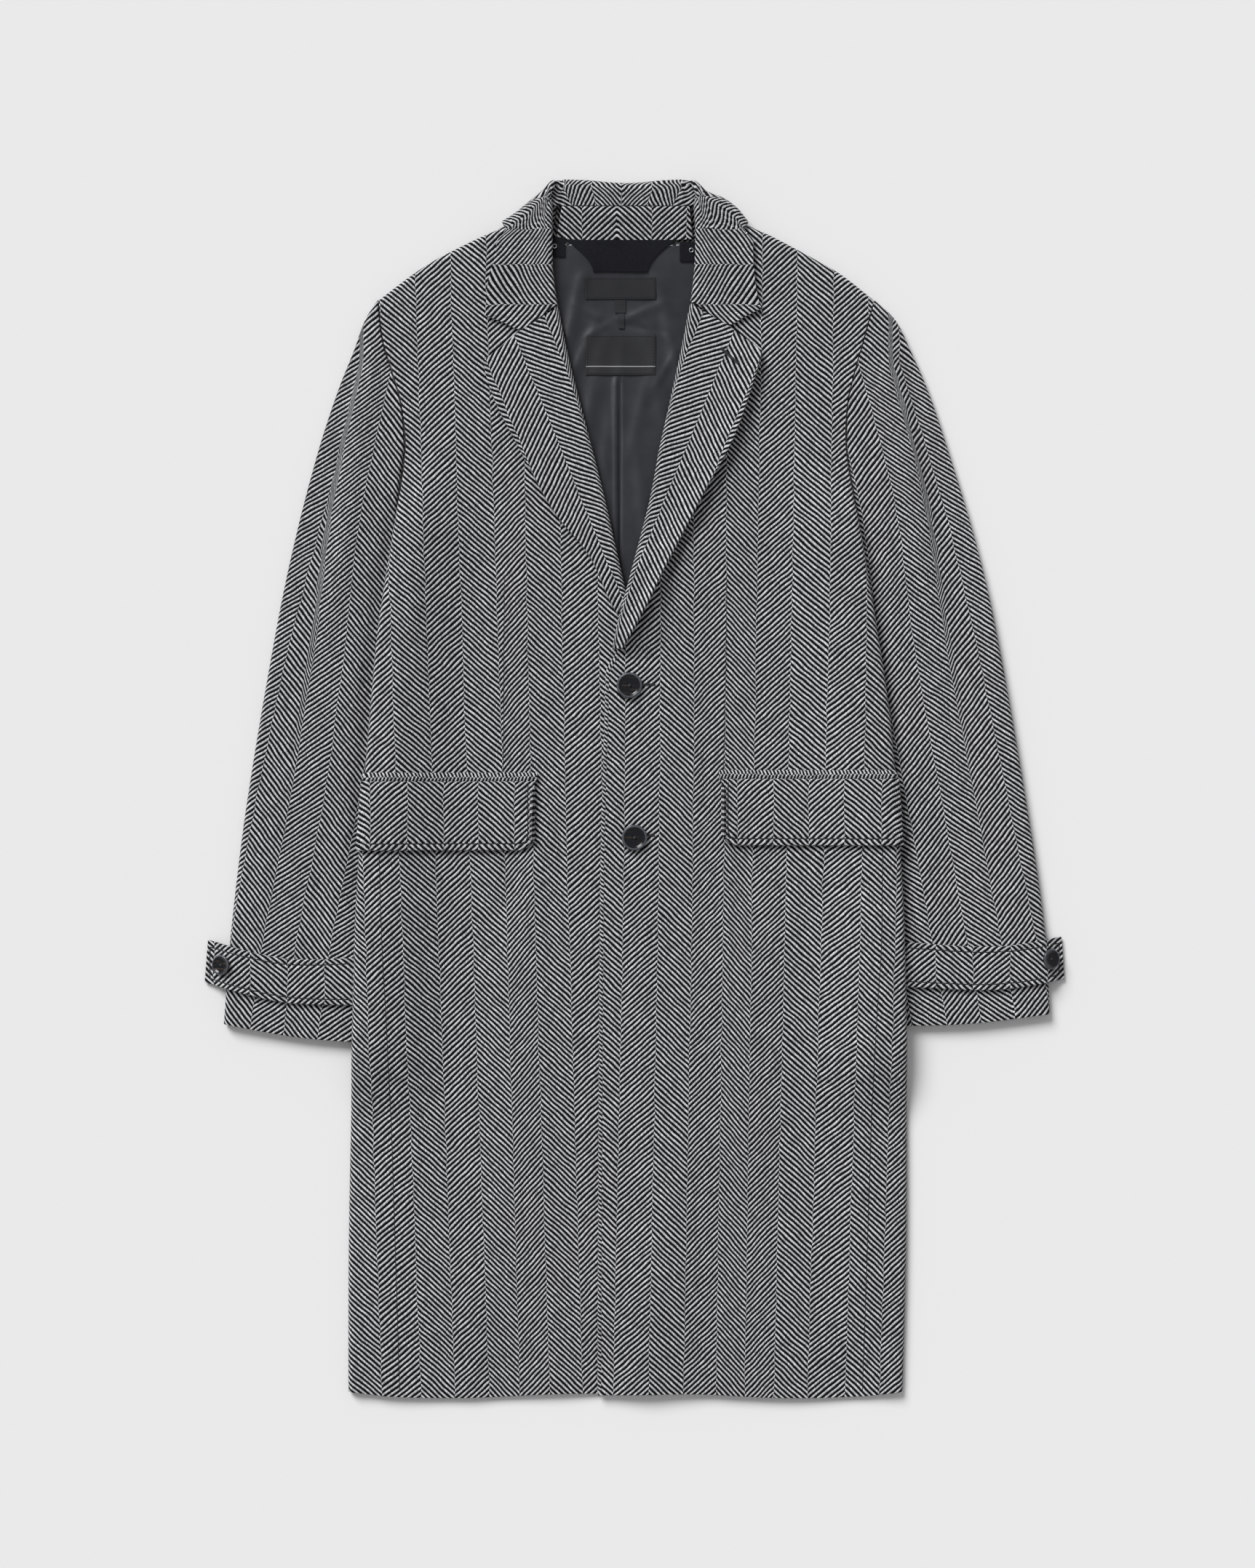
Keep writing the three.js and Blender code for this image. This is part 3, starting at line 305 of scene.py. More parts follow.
# Soft creases of each sleeve, in the same columns
SLEEVE_CREASES = {
    "left": table(
        ["x", "y", "turn", "length", "width", "height"],
        [
            [262, 210, 104, 130, 12, 1.2],
            [300, 120, 108, 150, 14, -1.0],
            [275, 60, 100, 120, 14, 1.0],
            [330, -20, 101, 140, 16, 0.9],
            [285, -70, 97, 110, 12, -1.0],
            [350, -90, 62, 70, 10, 0.8],
            [262, 330, 120, 60, 9, 0.9],
        ],
    ),
    "right": table(
        ["x", "y", "turn", "length", "width", "height"],
        [
            [-250, 200, 76, 140, 12, 1.2],
            [-284, 110, 73, 150, 13, -1.0],
            [-262, 40, 80, 130, 14, 1.0],
            [-315, -30, 79, 130, 15, 0.9],
            [-272, -90, 84, 120, 12, -0.9],
            [-335, -110, 118, 70, 10, 0.8],
            [-250, 335, 60, 60, 9, 0.9],
        ],
    ),
}

# Long fold down the upper sleeve: distance in from the outer edge, and depth of the step
SLEEVE_FOLD = table(
    ["y", "inset", "depth"],
    [[110, 44, 0], [200, 40, 3.0], [290, 30, 4.4], [360, 20, 4.2], [430, 8, 1.6]],
)

# Depth of the sleeve's hollow beside the body, and how far the fronts sink towards their sides and hem
SLEEVE_VALLEY = 4.4
SIDE_SINK = 1.7
HEM_SINK = 3.4

# How strongly the fronts' creases show, their slow waves, and the short ripples along their hem
CREASES_SHOW = 1.5
SLOW_WAVES = dict(size=70, height=0.9)
HEM_RIPPLE = dict(height=0.9, y=-470, run=60, length=17.0, sway=1.3, sway_length=41.0)

# Width of the band beside a folded edge in which a piece's creases fade out
FRONT_CALM = 26
SLEEVE_CALM = 22

# Ends of the long fold of the sleeves, and the run over which its step falls
SLEEVE_FOLD_ENDS = dict(foot=110, foot_run=60, top=430, top_run=20, fall=11)

# Direction of the lapels' weave, in degrees from the coat's own
LAPEL_LEAN = 22.3

SIGN = {"left": 1, "right": -1}
SIDES = ("left", "right")


def clamp01(t):
    return min(1.0, max(0.0, t))


def ease(t):
    t = clamp01(t)
    return t * t * (3 - 2 * t)


def mix(a, b, t):
    return tuple(p + (q - p) * t for p, q in zip(a, b))


def curve(points, knots=None):
    """Smooth curve through points, with t from 0 to 1 along its length or along given knots."""
    points = [tuple(point) for point in points]
    last = len(points) - 1
    at = list(knots) if knots else [0.0]
    for i in range(len(at), last + 1):
        at.append(at[-1] + math.dist(points[i - 1], points[i]))
    slopes = []
    for i in range(last + 1):
        a, b = max(i - 1, 0), min(i + 1, last)
        slopes.append([(q - p) / (at[b] - at[a]) for p, q in zip(points[a], points[b])])

    @lru_cache(maxsize=None)
    def value(t):
        s = at[0] + t * (at[last] - at[0])
        i = min(max(bisect_right(at, s) - 1, 0), last - 1)
        h = at[i + 1] - at[i]
        w = (s - at[i]) / h
        start, leave = (1 + 2 * w) * (1 - w) ** 2, h * w * (1 - w) ** 2
        end, arrive = w * w * (3 - 2 * w), h * w * w * (w - 1)
        return tuple(
            p * start + m * leave + q * end + n * arrive
            for p, m, q, n in zip(points[i], slopes[i], points[i + 1], slopes[i + 1])
        )

    return value


def reader(rows, by, column):
    """Value of one column of a table at a value of another, smoothly interpolated."""
    rows = sorted(rows, key=lambda row: row[by])
    low, high = rows[0][by], rows[-1][by]
    line = curve([(row[column],) for row in rows], [row[by] for row in rows])
    return lru_cache(maxsize=None)(lambda value: line(clamp01((value - low) / (high - low)))[0])


def both_sides(rows):
    return {side: reader(rows, "y", side) for side in SIDES}


body_edge = both_sides(BODY_EDGE)
roll_line = both_sides(ROLL_LINE)
sleeve_tuck = reader(SLEEVE_TUCK, "y", "tuck")
fold_inset = reader(SLEEVE_FOLD, "y", "inset")
fold_depth = reader(SLEEVE_FOLD, "y", "depth")


def fold_drop(inset):
    """Drop of a rounded fold at a distance in from its edge."""
    if inset >= FOLD:
        return 0.0
    return FOLD - math.sqrt(max(0.0, FOLD**2 - (FOLD - max(0.0, inset)) ** 2))


def fold_cloth(inset):
    """Cloth that a rounded fold takes up beyond what its plan shows."""
    if inset >= FOLD:
        return 0.0
    turned = math.asin((FOLD - max(0.0, inset)) / FOLD)
    return FOLD * (turned - math.sin(turned))


def side_fold(y):
    return ease((UNDERARM - y) / UNDERARM_RUN)


def roll_radius(side, y):
    return ROLL["foot"] + (ROLL["full"] - ROLL["foot"]) * ease((y - LAPEL_FOOT[side]) / 60)


def crease(rows):
    """Sum of soft ridges and troughs at a place, each fading towards its ends."""
    rows = [(row, math.cos(math.radians(row["turn"])), math.sin(math.radians(row["turn"]))) for row in rows]

    def height(x, y):
        total = 0.0
        for row, cosine, sine in rows:
            dx, dy = x - row["x"], y - row["y"]
            along = (dx * cosine + dy * sine) / row["length"]
            across = (dy * cosine - dx * sine) / row["width"]
            if abs(along) < 1 and abs(across) < 3:
                total += row["height"] * (1 - along * along) ** 2 * math.exp(-across * across)
        return total

    return height


body_crease = crease(BODY_CREASES)
sleeve_crease = {side: crease(SLEEVE_CREASES[side]) for side in SIDES}


def hump(x, middle, width):
    """Round ridge of height 1 about a middle."""
    return math.exp(-(((x - middle) / width) ** 2))


def soft(x, y, size, height):
    """Slow unevenness of hand-laid cloth."""
    return height * noise.noise(Vector((x / size, y / size, height)))


def bed(x, y):
    """Height of the back's underside above the surface."""
    side = "left" if x > 0 else "right"
    inset = body_edge[side](y) - abs(x)
    above_foot = ease((y - ON_SLEEVE["foot"]) / ON_SLEEVE["foot_run"])
    sleeve = ON_SLEEVE["lift"] * ease((ON_SLEEVE["top"] - y) / ON_SLEEVE["top_run"])
    more = ON_STRAP["lift"] - ON_SLEEVE["lift"]
    strap = more * ease((ON_STRAP["top"] - y) / ON_STRAP["top_run"])
    at_side = ease((ON_SLEEVE["inset"] - inset) / ON_SLEEVE["inset_run"])
    across_neck = ease((ON_COLLAR["half_width"] - abs(x)) / ON_COLLAR["side_run"])
    collar = ON_COLLAR["lift"] * ease((y - ON_COLLAR["y"]) / ON_COLLAR["run"]) * across_neck
    return (sleeve + strap) * above_foot * at_side + collar


def front_top(side, x, y):
    """Height of a front panel's face away from its folds."""
    base = bed(x, y) + BODY
    if side == "right":
        return base
    below_lapels = ease((ON_FRONT["top"] - y) / ON_FRONT["top_run"])
    over_right = ON_FRONT["lift"] * ease((ON_FRONT["x"] - x) / ON_FRONT["run"]) * below_lapels
    across_foot = ease((ON_LAPEL["half_width"] - abs(x)) / ON_LAPEL["side_run"])
    along_foot = ease((ON_LAPEL["half_height"] - abs(y - ON_LAPEL["y"])) / ON_LAPEL["run"])
    return base + over_right + ON_LAPEL["lift"] * across_foot * along_foot


def front_drape(x, y):
    """Creases, slow waves and the hem's ripples, above a front that sinks towards its hem."""
    sway = HEM_RIPPLE["sway"] * math.sin(x / HEM_RIPPLE["sway_length"])
    hem = HEM_RIPPLE["height"] * ease((HEM_RIPPLE["y"] - y) / HEM_RIPPLE["run"])
    hem *= math.sin(x / HEM_RIPPLE["length"] + sway)
    waves = soft(x, y, **SLOW_WAVES)
    return CREASES_SHOW * body_crease(x, y) + waves + hem - HEM_SINK * ease((-450 - y) / 85)


def side_sink(side, x, y):
    inset = body_edge[side](y) - abs(x)
    return SIDE_SINK * ease((UNDERARM - y) / 90) * (1 - clamp01(inset / 30)) ** 2


def coons(inner, outer, bottom, top):
    """Patch between four edges: u runs from inner to outer, v from bottom to top."""
    corners = inner(0.0), inner(1.0), outer(0.0), outer(1.0)

    def patch(u, v):
        across = mix(inner(v), outer(v), u)
        along = mix(bottom(u), top(u), v)
        flat = mix(mix(corners[0], corners[1], v), mix(corners[2], corners[3], v), u)
        return tuple(a + b - c for a, b, c in zip(across, along, flat))

    return patch


def polyline(corners, at):
    """Path through corner points that reaches each corner at its given t."""

    def point(t):
        i = 0
        while i < len(corners) - 2 and t > at[i + 1]:
            i += 1
        return mix(corners[i], corners[i + 1], (t - at[i]) / (at[i + 1] - at[i]))

    return point


def edge_points(rows, side):
    return [(SIGN[side] * row[side], row["y"]) for row in rows]


def outline(rows, side):
    return [(SIGN[side] * row["x"], row["y"]) for row in rows]


# The weave, in millimetres of cloth
COLUMN = 31.2
PERIOD = 5.0
YARN = 1.04
SLANT = 0.9
FLOAT = dict(length=0.235, width=0.66, corner=2.6)  # half sizes in yarns, and how square its ends are


def woven(breaks, x):
    """Cloth coordinate across the columns, from the places of the numbered breaks on one level."""
    places = [place for place, _ in breaks]
    i = min(max(bisect_right(places, x) - 1, 0), len(places) - 2)
    (left, number), (right, after) = breaks[i], breaks[i + 1]
    return (number + (after - number) * (x - left) / (right - left)) * COLUMN


def front_weave(side):
    levels = sorted((y, name) for name, y in WEAVE_LEVELS.items())
    lines = [
        (row["number"], reader([dict(y=y, x=row[name]) for y, name in levels], "y", "x"))
        for row in FRONT_BREAKS[side]
    ]

    def weave(u, v, point):
        x, y = point[:2]
        return woven([(line(y), number) for number, line in lines], x), y

    return weave


def sleeve_weave(side):
    inner = reader(SLEEVE_BREAKS[side], "y", "inner")
    outer = reader(SLEEVE_BREAKS[side], "y", "outer")
    lean = math.radians(SLEEVE_LEAN)

    def weave(u, v, point):
        x, y = point[:2]
        near, far = abs(inner(y)), abs(outer(y))
        down = near + 27 + 3 * ease((far - near - 45) / 15)
        after = 2 - (far - down - SLEEVE_HIDDEN) / COLUMN
        breaks = [
            (near - 4 * COLUMN, -4),
            (near, 0),
            (down, 1),
            (down + SLEEVE_HIDDEN, after),
            (far, 2),
            (far + 5 * COLUMN, 7),
        ]
        across = woven(breaks, abs(x)) + COLUMN
        return -SIGN[side] * across, y * math.cos(lean) - SIGN[side] * x * math.sin(lean)

    return weave


# Shader nodes
def node(tree, kind, sockets=None, **settings):
    made = tree.nodes.new(kind)
    for name, value in settings.items():
        setattr(made, name, value)
    for key, value in (sockets or {}).items():
        if isinstance(value, bpy.types.NodeSocket):
            tree.links.new(value, made.inputs[key])
        else:
            made.inputs[key].default_value = value
    return made


def calculator(tree):
    """Math nodes by the name of their operation."""

    def calculate(operation, *values):
        return node(tree, "ShaderNodeMath", dict(enumerate(values)), operation=operation).outputs[0]

    return calculate


def remap(tree, value, low, high, to_low=0.0, to_high=1.0, smooth=True):
    kind = "SMOOTHSTEP" if smooth else "LINEAR"
    sockets = {"Value": value, "From Min": low, "From Max": high, "To Min": to_low, "To Max": to_high}
    return node(tree, "ShaderNodeMapRange", sockets, interpolation_type=kind).outputs["Result"]


def noise_in(tree, place, scale, detail, roughness=0.5):
    sockets = {"Vector": place, "Scale": scale, "Detail": detail, "Roughness": roughness}
    return node(tree, "ShaderNodeTexNoise", sockets).outputs


def vector_math(tree, operation, a, b):
    """Result of a vector operation; b is a number for a scale and a vector otherwise."""
    key = "Scale" if operation == "SCALE" else 1
    return node(tree, "ShaderNodeVectorMath", {0: a, key: b}, operation=operation).outputs[0]


def uv_place(tree, name="Cloth"):
    return node(tree, "ShaderNodeUVMap", uv_map=name).outputs["UV"]


def own_place(tree):
    """Place on the piece in metres."""
    return node(tree, "ShaderNodeTexCoord").outputs["Object"]


def blend(tree, share, a, b, kind="MIX"):
    made = node(tree, "ShaderNodeMix", data_type="RGBA", blend_type=kind)
    for key, value in ((0, share), (6, a), (7, b)):
        if isinstance(value, bpy.types.NodeSocket):
            tree.links.new(value, made.inputs[key])
        else:
            made.inputs[key].default_value = value
    return made.outputs[2]


def shader_group(name, inputs, outputs):
    tree = bpy.data.node_groups.new(name, "ShaderNodeTree")
    for label, kind, value in inputs:
        socket = tree.interface.new_socket(label, in_out="INPUT", socket_type=kind)
        if value is not None:
            socket.default_value = value
    for label, kind in outputs:
        tree.interface.new_socket(label, in_out="OUTPUT", socket_type=kind)
    return tree, tree.nodes.new("NodeGroupInput").outputs, tree.nodes.new("NodeGroupOutput").inputs


def herringbone_group():
    """Broken twill in columns: each stripe is a chain of slanted yarn floats."""
    colour = "NodeSocketColor"
    tree, given, result = shader_group(
        "Herringbone",
        [
            ("Cloth", "NodeSocketVector", None),
            ("Light Yarn", colour, (0.64, 0.652, 0.66, 1)),
            ("Dark Yarn", colour, (0.002, 0.0023, 0.0036, 1)),
        ],
        [("Color", colour), ("Height", "NodeSocketFloat")],
    )
    calculate = calculator(tree)
    cloth = vector_math(tree, "SCALE", given["Cloth"], 1 / MM)
    place = cloth
    for scale, detail, size in ((0.045, 1.5, 3.2), (0.9, 1.0, 0.5)):  # slow bend, then fine shake
        drift = noise_in(tree, cloth, scale, detail)["Color"]
        drift = vector_math(tree, "SCALE", vector_math(tree, "SUBTRACT", drift, (0.5, 0.5, 0.5)), size)
        place = vector_math(tree, "ADD", place, drift)
    parts = node(tree, "ShaderNodeSeparateXYZ", {0: place}).outputs

    # The yarn end, its column, and the way the column's stripes lean
    end = calculate("FLOOR", calculate("DIVIDE", parts["X"], YARN))
    centre = calculate("MULTIPLY", calculate("ADD", end, 0.5), YARN)
    column = calculate("FLOOR", calculate("DIVIDE", centre, COLUMN))
    odd = calculate("FLOORED_MODULO", column, 2.0)
    lean = calculate("MULTIPLY_ADD", odd, -2.0, 1.0)
    across = calculate("SUBTRACT", calculate("DIVIDE", parts["X"], YARN), calculate("ADD", end, 0.5))

    # Phase up the cloth, stepping from one yarn end to the next
    within = calculate("SUBTRACT", centre, calculate("MULTIPLY", calculate("ADD", column, 0.5), COLUMN))
    rise = calculate("MULTIPLY", calculate("MULTIPLY", lean, within), SLANT)
    phase = calculate("DIVIDE", calculate("SUBTRACT", parts["Y"], rise), PERIOD)
    phase = calculate("MULTIPLY_ADD", odd, 0.5, phase)
    phase = calculate("SUBTRACT", phase, calculate("MULTIPLY", calculate("MULTIPLY", lean, across), 0.1))
    pick = calculate("FLOOR", phase)
    along = calculate("SUBTRACT", calculate("SUBTRACT", phase, pick), 0.5)

    def float_field(along):
        """Squared distance from the middle of a float, 1 on its edge."""
        sizes = (along, FLOAT["length"]), (across, FLOAT["width"])
        shares = [calculate("ABSOLUTE", calculate("DIVIDE", value, size)) for value, size in sizes]
        return calculate("ADD", *[calculate("POWER", share, FLOAT["corner"]) for share in shares])

    light_field = float_field(along)
    other = calculate("SUBTRACT", calculate("ABSOLUTE", along), 0.5)
    dark_field = float_field(other)
    light = remap(tree, light_field, 1.15, 0.75)

    # Each float takes its own tone from the wool's blend
    seed = node(tree, "ShaderNodeCombineXYZ", {0: end, 1: pick, 2: 0.5})
    tone = node(tree, "ShaderNodeTexWhiteNoise", {"Vector": seed.outputs[0]}, noise_dimensions="3D")
    shade = remap(tree, tone.outputs["Value"], 0.0, 1.0, 0.66, 1.12, smooth=False)
    end_tone = node(tree, "ShaderNodeTexWhiteNoise", {"W": end}, noise_dimensions="1D")
    end_shade = remap(tree, end_tone.outputs["Value"], 0, 1, 0.94, 1.05, smooth=False)
    shade = calculate("MULTIPLY", shade, end_shade)
    slow = noise_in(tree, cloth, 0.11, 3.0)["Fac"]
    shade = calculate("MULTIPLY", shade, remap(tree, slow, 0.25, 0.75, 0.86, 1.1))
    fibre_place = node(tree, "ShaderNodeMapping", {"Vector": place, "Scale": (3.4, 1.1, 1)}).outputs[0]
    fibres = noise_in(tree, fibre_place, 1.0, 4.0, 0.7)["Fac"]
    shade = calculate("MULTIPLY", shade, remap(tree, fibres, 0.3, 0.7, 0.78, 1.16))
    light_colour = blend(tree, 1.0, given["Light Yarn"], shade, "MULTIPLY")
    lint = remap(tree, fibres, 0.6, 0.8, 0.0, 0.08)
    dark_tone = blend(tree, lint, given["Dark Yarn"], (0.30, 0.31, 0.33, 1))
    colour_out = blend(tree, light, dark_tone, light_colour)
    tree.links.new(colour_out, result["Color"])

    nearest = calculate("MINIMUM", light_field, dark_field)
    relief = calculate("SUBTRACT", 1.0, calculate("MINIMUM", nearest, 1.0))
    relief = calculate("MULTIPLY_ADD", fibres, 0.45, relief)
    tree.links.new(relief, result["Height"])
    return tree


def fleck_group():
    """Fine fuzz and slow tone of a milled cloth, on the piece's own coordinates."""
    tree, given, result = shader_group(
        "Milled cloth",
        [("Place", "NodeSocketVector", None), ("Grain", "NodeSocketFloat", 900.0)],
        [("Tone", "NodeSocketFloat"), ("Height", "NodeSocketFloat")],
    )
    fuzz = noise_in(tree, given["Place"], given["Grain"], 5.0, 0.75)["Fac"]
    slow = noise_in(tree, given["Place"], 28.0, 2.0)["Fac"]
    fuzz_tone, slow_tone = remap(tree, fuzz, 0.3, 0.7, 0.55, 1.45), remap(tree, slow, 0.3, 0.7, 0.85, 1.15)
    tree.links.new(calculator(tree)("MULTIPLY", fuzz_tone, slow_tone), result["Tone"])
    tree.links.new(fuzz, result["Height"])
    return tree


def satin_group():
    """Fine diagonal rib of a lining cloth."""
    tree, given, result = shader_group(
        "Satin",
        [("Cloth", "NodeSocketVector", None), ("Color", "NodeSocketColor", (0.05, 0.05, 0.055, 1))],
        [("Color", "NodeSocketColor"), ("Height", "NodeSocketFloat")],
    )
    calculate = calculator(tree)
    cloth = vector_math(tree, "SCALE", given["Cloth"], 1 / MM)
    parts = node(tree, "ShaderNodeSeparateXYZ", {0: cloth}).outputs
    diagonal = calculate("MULTIPLY_ADD", parts["Y"], 1.7, parts["X"])
    rib = calculate("SINE", calculate("MULTIPLY", diagonal, 2 * math.pi / 0.9))
    slow, grain = noise_in(tree, cloth, 0.05, 3.0)["Fac"], noise_in(tree, cloth, 2.2, 2.0)["Fac"]
    tone = calculate("MULTIPLY_ADD", rib, 0.05, remap(tree, slow, 0.3, 0.7, 0.88, 1.14))
    tone = calculate("MULTIPLY", tone, remap(tree, grain, 0.3, 0.7, 0.93, 1.07))
    tree.links.new(blend(tree, 1.0, given["Color"], tone, "MULTIPLY"), result["Color"])
    tree.links.new(rib, result["Height"])
    return tree


HERRINGBONE = herringbone_group()
MILLED = fleck_group()
SATIN = satin_group()


def material(name, **constants):
    """A material with its Principled shader, whose unchanging values stay on its own sockets."""
    made = bpy.data.materials.new(name)
    made.use_nodes = True
    tree = made.node_tree
    shader = tree.nodes["Principled BSDF"]
    for key, value in constants.items():
        shader.inputs[key.replace("_", " ")].default_value = value
    return made, tree, shader


def bump(tree, shader, height, distance, strength=1.0):
    made = node(tree, "ShaderNodeBump", {"Height": height, "Distance": distance * MM, "Strength": strength})
    tree.links.new(made.outputs["Normal"], shader.inputs["Normal"])


def coating_material():
    made, tree, shader = material(
        "coating", Roughness=0.9, Sheen_Weight=0.04, Sheen_Roughness=0.6, Specular_IOR_Level=0.08
    )
    weave = node(tree, "ShaderNodeGroup", node_tree=HERRINGBONE)
    tree.links.new(uv_place(tree), weave.inputs["Cloth"])
    tree.links.new(weave.outputs["Color"], shader.inputs["Base Color"])
    bump(tree, shader, weave.outputs["Height"], distance=0.5, strength=0.8)
    return made


def milled_material(name, colour, grain):
    made, tree, shader = material(
        name, Roughness=0.95, Sheen_Weight=0.06, Sheen_Roughness=0.5, Specular_IOR_Level=0.2
    )
    fuzz = node(tree, "ShaderNodeGroup", node_tree=MILLED)
    tree.links.new(own_place(tree), fuzz.inputs["Place"])
    fuzz.inputs["Grain"].default_value = grain
    tree.links.new(blend(tree, 1.0, colour, fuzz.outputs["Tone"], "MULTIPLY"), shader.inputs["Base Color"])
    bump(tree, shader, fuzz.outputs["Height"], distance=0.4, strength=0.9)
    return made


def satin_material(name, colour, roughness):
    made, tree, shader = material(name, Roughness=roughness, Specular_IOR_Level=0.3)
    satin = node(tree, "ShaderNodeGroup", node_tree=SATIN)
    satin.inputs["Color"].default_value = colour
    tree.links.new(uv_place(tree), satin.inputs["Cloth"])
    tree.links.new(satin.outputs["Color"], shader.inputs["Base Color"])
    bump(tree, shader, satin.outputs["Height"], distance=0.03, strength=0.6)
    return made


def horn_material():
    """Dark polished horn with faint brown streaks, and a painted highlight: a paler ring near its rim."""
    made, tree, shader = material("horn", Specular_IOR_Level=0.4)
    place = own_place(tree)
    stretched = {"Vector": place, "Rotation": (0, 0, 0.5), "Scale": (60, 420, 60)}
    stretch = node(tree, "ShaderNodeMapping", stretched).outputs[0]
    share = remap(tree, noise_in(tree, stretch, 1.0, 4.0)["Fac"], 0.56, 0.74)
    colour = blend(tree, share, (0.003, 0.0035, 0.006, 1), (0.06, 0.042, 0.03, 1))
    # Painted highlight: a paler blue-grey ring near the rim stands for the light reflected round the
    # button's bevel.
    out = node(tree, "ShaderNodeSeparateXYZ", {0: uv_place(tree, "Ring")}).outputs["X"]
    rim = calculator(tree)("MULTIPLY", remap(tree, out, 0.8, 0.87), remap(tree, out, 1.0, 0.96))
    colour = blend(tree, rim, colour, (0.07, 0.076, 0.088, 1))
    tree.links.new(colour, shader.inputs["Base Color"])
    scratch = noise_in(tree, place, 700.0, 3.0)["Fac"]
    tree.links.new(remap(tree, scratch, 0.3, 0.8, 0.13, 0.27), shader.inputs["Roughness"])
    return made


def metal_material():
    made, tree, shader = material("eyelet", Metallic=1.0, Roughness=0.35)
    wear = noise_in(tree, own_place(tree), 500.0, 3.0)["Fac"]
    colour = blend(tree, wear, (0.24, 0.25, 0.27, 1), (0.46, 0.48, 0.5, 1))
    tree.links.new(colour, shader.inputs["Base Color"])
    return made


def thread_material(name, colour):
    made, tree, shader = material(name, Roughness=0.7)
    twist = noise_in(tree, own_place(tree), 2600.0, 2.0)["Fac"]
    dark = tuple(0.5 * c for c in colour[:3]) + (1,)
    tree.links.new(blend(tree, twist, dark, colour), shader.inputs["Base Color"])
    bump(tree, shader, twist, distance=0.1)
    return made


COATING = coating_material()
FACING_CLOTH = milled_material("facing", (0.006, 0.0065, 0.009, 1), 900.0)
SATIN_CLOTH = satin_material("lining", (0.027, 0.0285, 0.034, 1), 0.4)
LABEL_CLOTH = satin_material("label", (0.017, 0.0178, 0.0205, 1), 0.5)
HORN = horn_material()
METAL = metal_material()
# Near-black for stitches of dark thread, and painted shade: the dark strips along seams, darts and
# buttonhole slits stand for the shade in their grooves.
THREAD_AND_PAINTED_SHADE = thread_material("thread_and_painted_shade", (0.004, 0.0045, 0.007, 1))
BUTTON_THREAD = thread_material("button_thread", (0.05, 0.05, 0.056, 1))
PALE_THREAD = thread_material("pale_thread", (0.62, 0.63, 0.64, 1))


# Building pieces
def metres(point):
    return Vector(((point[0] + SHIFT_X) * MM, (point[1] + SHIFT_Y) * MM, point[2] * MM))


def grid(columns, rows, shape, weave=None, closed=False):
    """Grid moved onto shape(u, v), with weave(u, v, point) as its place in the cloth."""
    mesh = bmesh.new()
    bmesh.ops.create_grid(mesh, x_segments=columns, y_segments=rows, size=0.5)
    cloth = mesh.loops.layers.uv.new("Cloth")
    places = {}
    for vert in mesh.verts:
        u, v = round(vert.co.x + 0.5, 6), round(vert.co.y + 0.5, 6)
        places[vert] = (u, v, shape(u, v))
    woven_at = {vert: weave(*place) if weave else place[2][:2] for vert, place in places.items()}
    smooth(mesh)
    for face in mesh.faces:
        for loop in face.loops:
            across, along = woven_at[loop.vert]
            loop[cloth].uv = (across * MM, along * MM)
    for vert, place in places.items():
        vert.co = metres(place[2])
    if closed:
        bmesh.ops.remove_doubles(mesh, verts=mesh.verts, dist=0.01 * MM)
    mesh.normal_update()
    return mesh


def add_object(name, data):
    """New object, linked to the scene."""
    made = bpy.data.objects.new(name, data)
    bpy.context.scene.collection.objects.link(made)
    return made


def modified(piece):
    """Mesh that a piece's modifiers give."""
    evaluated = piece.evaluated_get(bpy.context.evaluated_depsgraph_get())
    mesh = bmesh.new()
    mesh.from_mesh(evaluated.to_mesh())
    evaluated.to_mesh_clear()
    return mesh


def outward(mesh, reach):
    """At each free edge of a sheet, the way its cloth coordinates run on past the edge."""
    cloth = mesh.loops.layers.uv["Cloth"]

    def place(vert):
        return vert.link_loops[0][cloth].uv

    past = {}
    for vert in mesh.verts:
        if vert.is_boundary:
            inside = [edge.other_vert(vert) for edge in vert.link_edges if not edge.is_boundary]
            inside = inside or [max(vert.link_faces[0].verts, key=lambda other: (other.co - vert.co).length)]
            way = place(vert) - place(inside[0])
            past[vert.index] = way.normalized() * reach if way.length else way
    return past


def cover_rims(walled, rims, count, past):
    """Carry the cloth coordinates on over the rim faces, between the face and the rear of a wall."""
    cloth = walled.loops.layers.uv.get("Cloth")
    for face in rims:
        for loop in face.loops:
            if loop.vert.index >= count:
                loop[cloth].uv += past.get(loop.vert.index - count, Vector((0, 0)))


def smooth(mesh):
    for face in mesh.faces:
        face.smooth = True


def raise_mesh(mesh, distance):
    for vert, normal in [(vert, vert.normal.copy()) for vert in mesh.verts]:
        vert.co += normal * distance * MM
    mesh.normal_update()


def finished(name, mesh, look, nodes=(), thickness=None, rounding=0.8, down=False):
    """Object from a mesh: a wall under its face, its free edges rounded, riding on the coat."""
    if down:
        bmesh.ops.reverse_faces(mesh, faces=mesh.faces)
    data = bpy.data.meshes.new(f"{name}_look")
    mesh.verts.index_update()
    count = len(mesh.verts)
    past = outward(mesh, thickness * MM) if thickness else {}
    mesh.to_mesh(data)
    mesh.free()
    data.materials.append(look)
    piece = add_object(data.name, data)
    if thickness:
        solid = piece.modifiers.new("Wall", "SOLIDIFY")
        solid.thickness = thickness * MM
        solid.offset = -1
        walled = modified(piece)
        piece.modifiers.clear()
        walled.verts.index_update()
        rims = {face for face in walled.faces if len({vert.index < count for vert in face.verts}) == 2}
        cover_rims(walled, rims, count, past)
        if rounding:
            round_edges(walled, rims, rounding)
        smooth(walled)
        walled.to_mesh(data)
        walled.free()
    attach(piece, "root")
    if nodes:
        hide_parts(*nodes)
    return piece


def way_from(vert, edge):
    return (edge.other_vert(vert).co - vert.co).normalized()


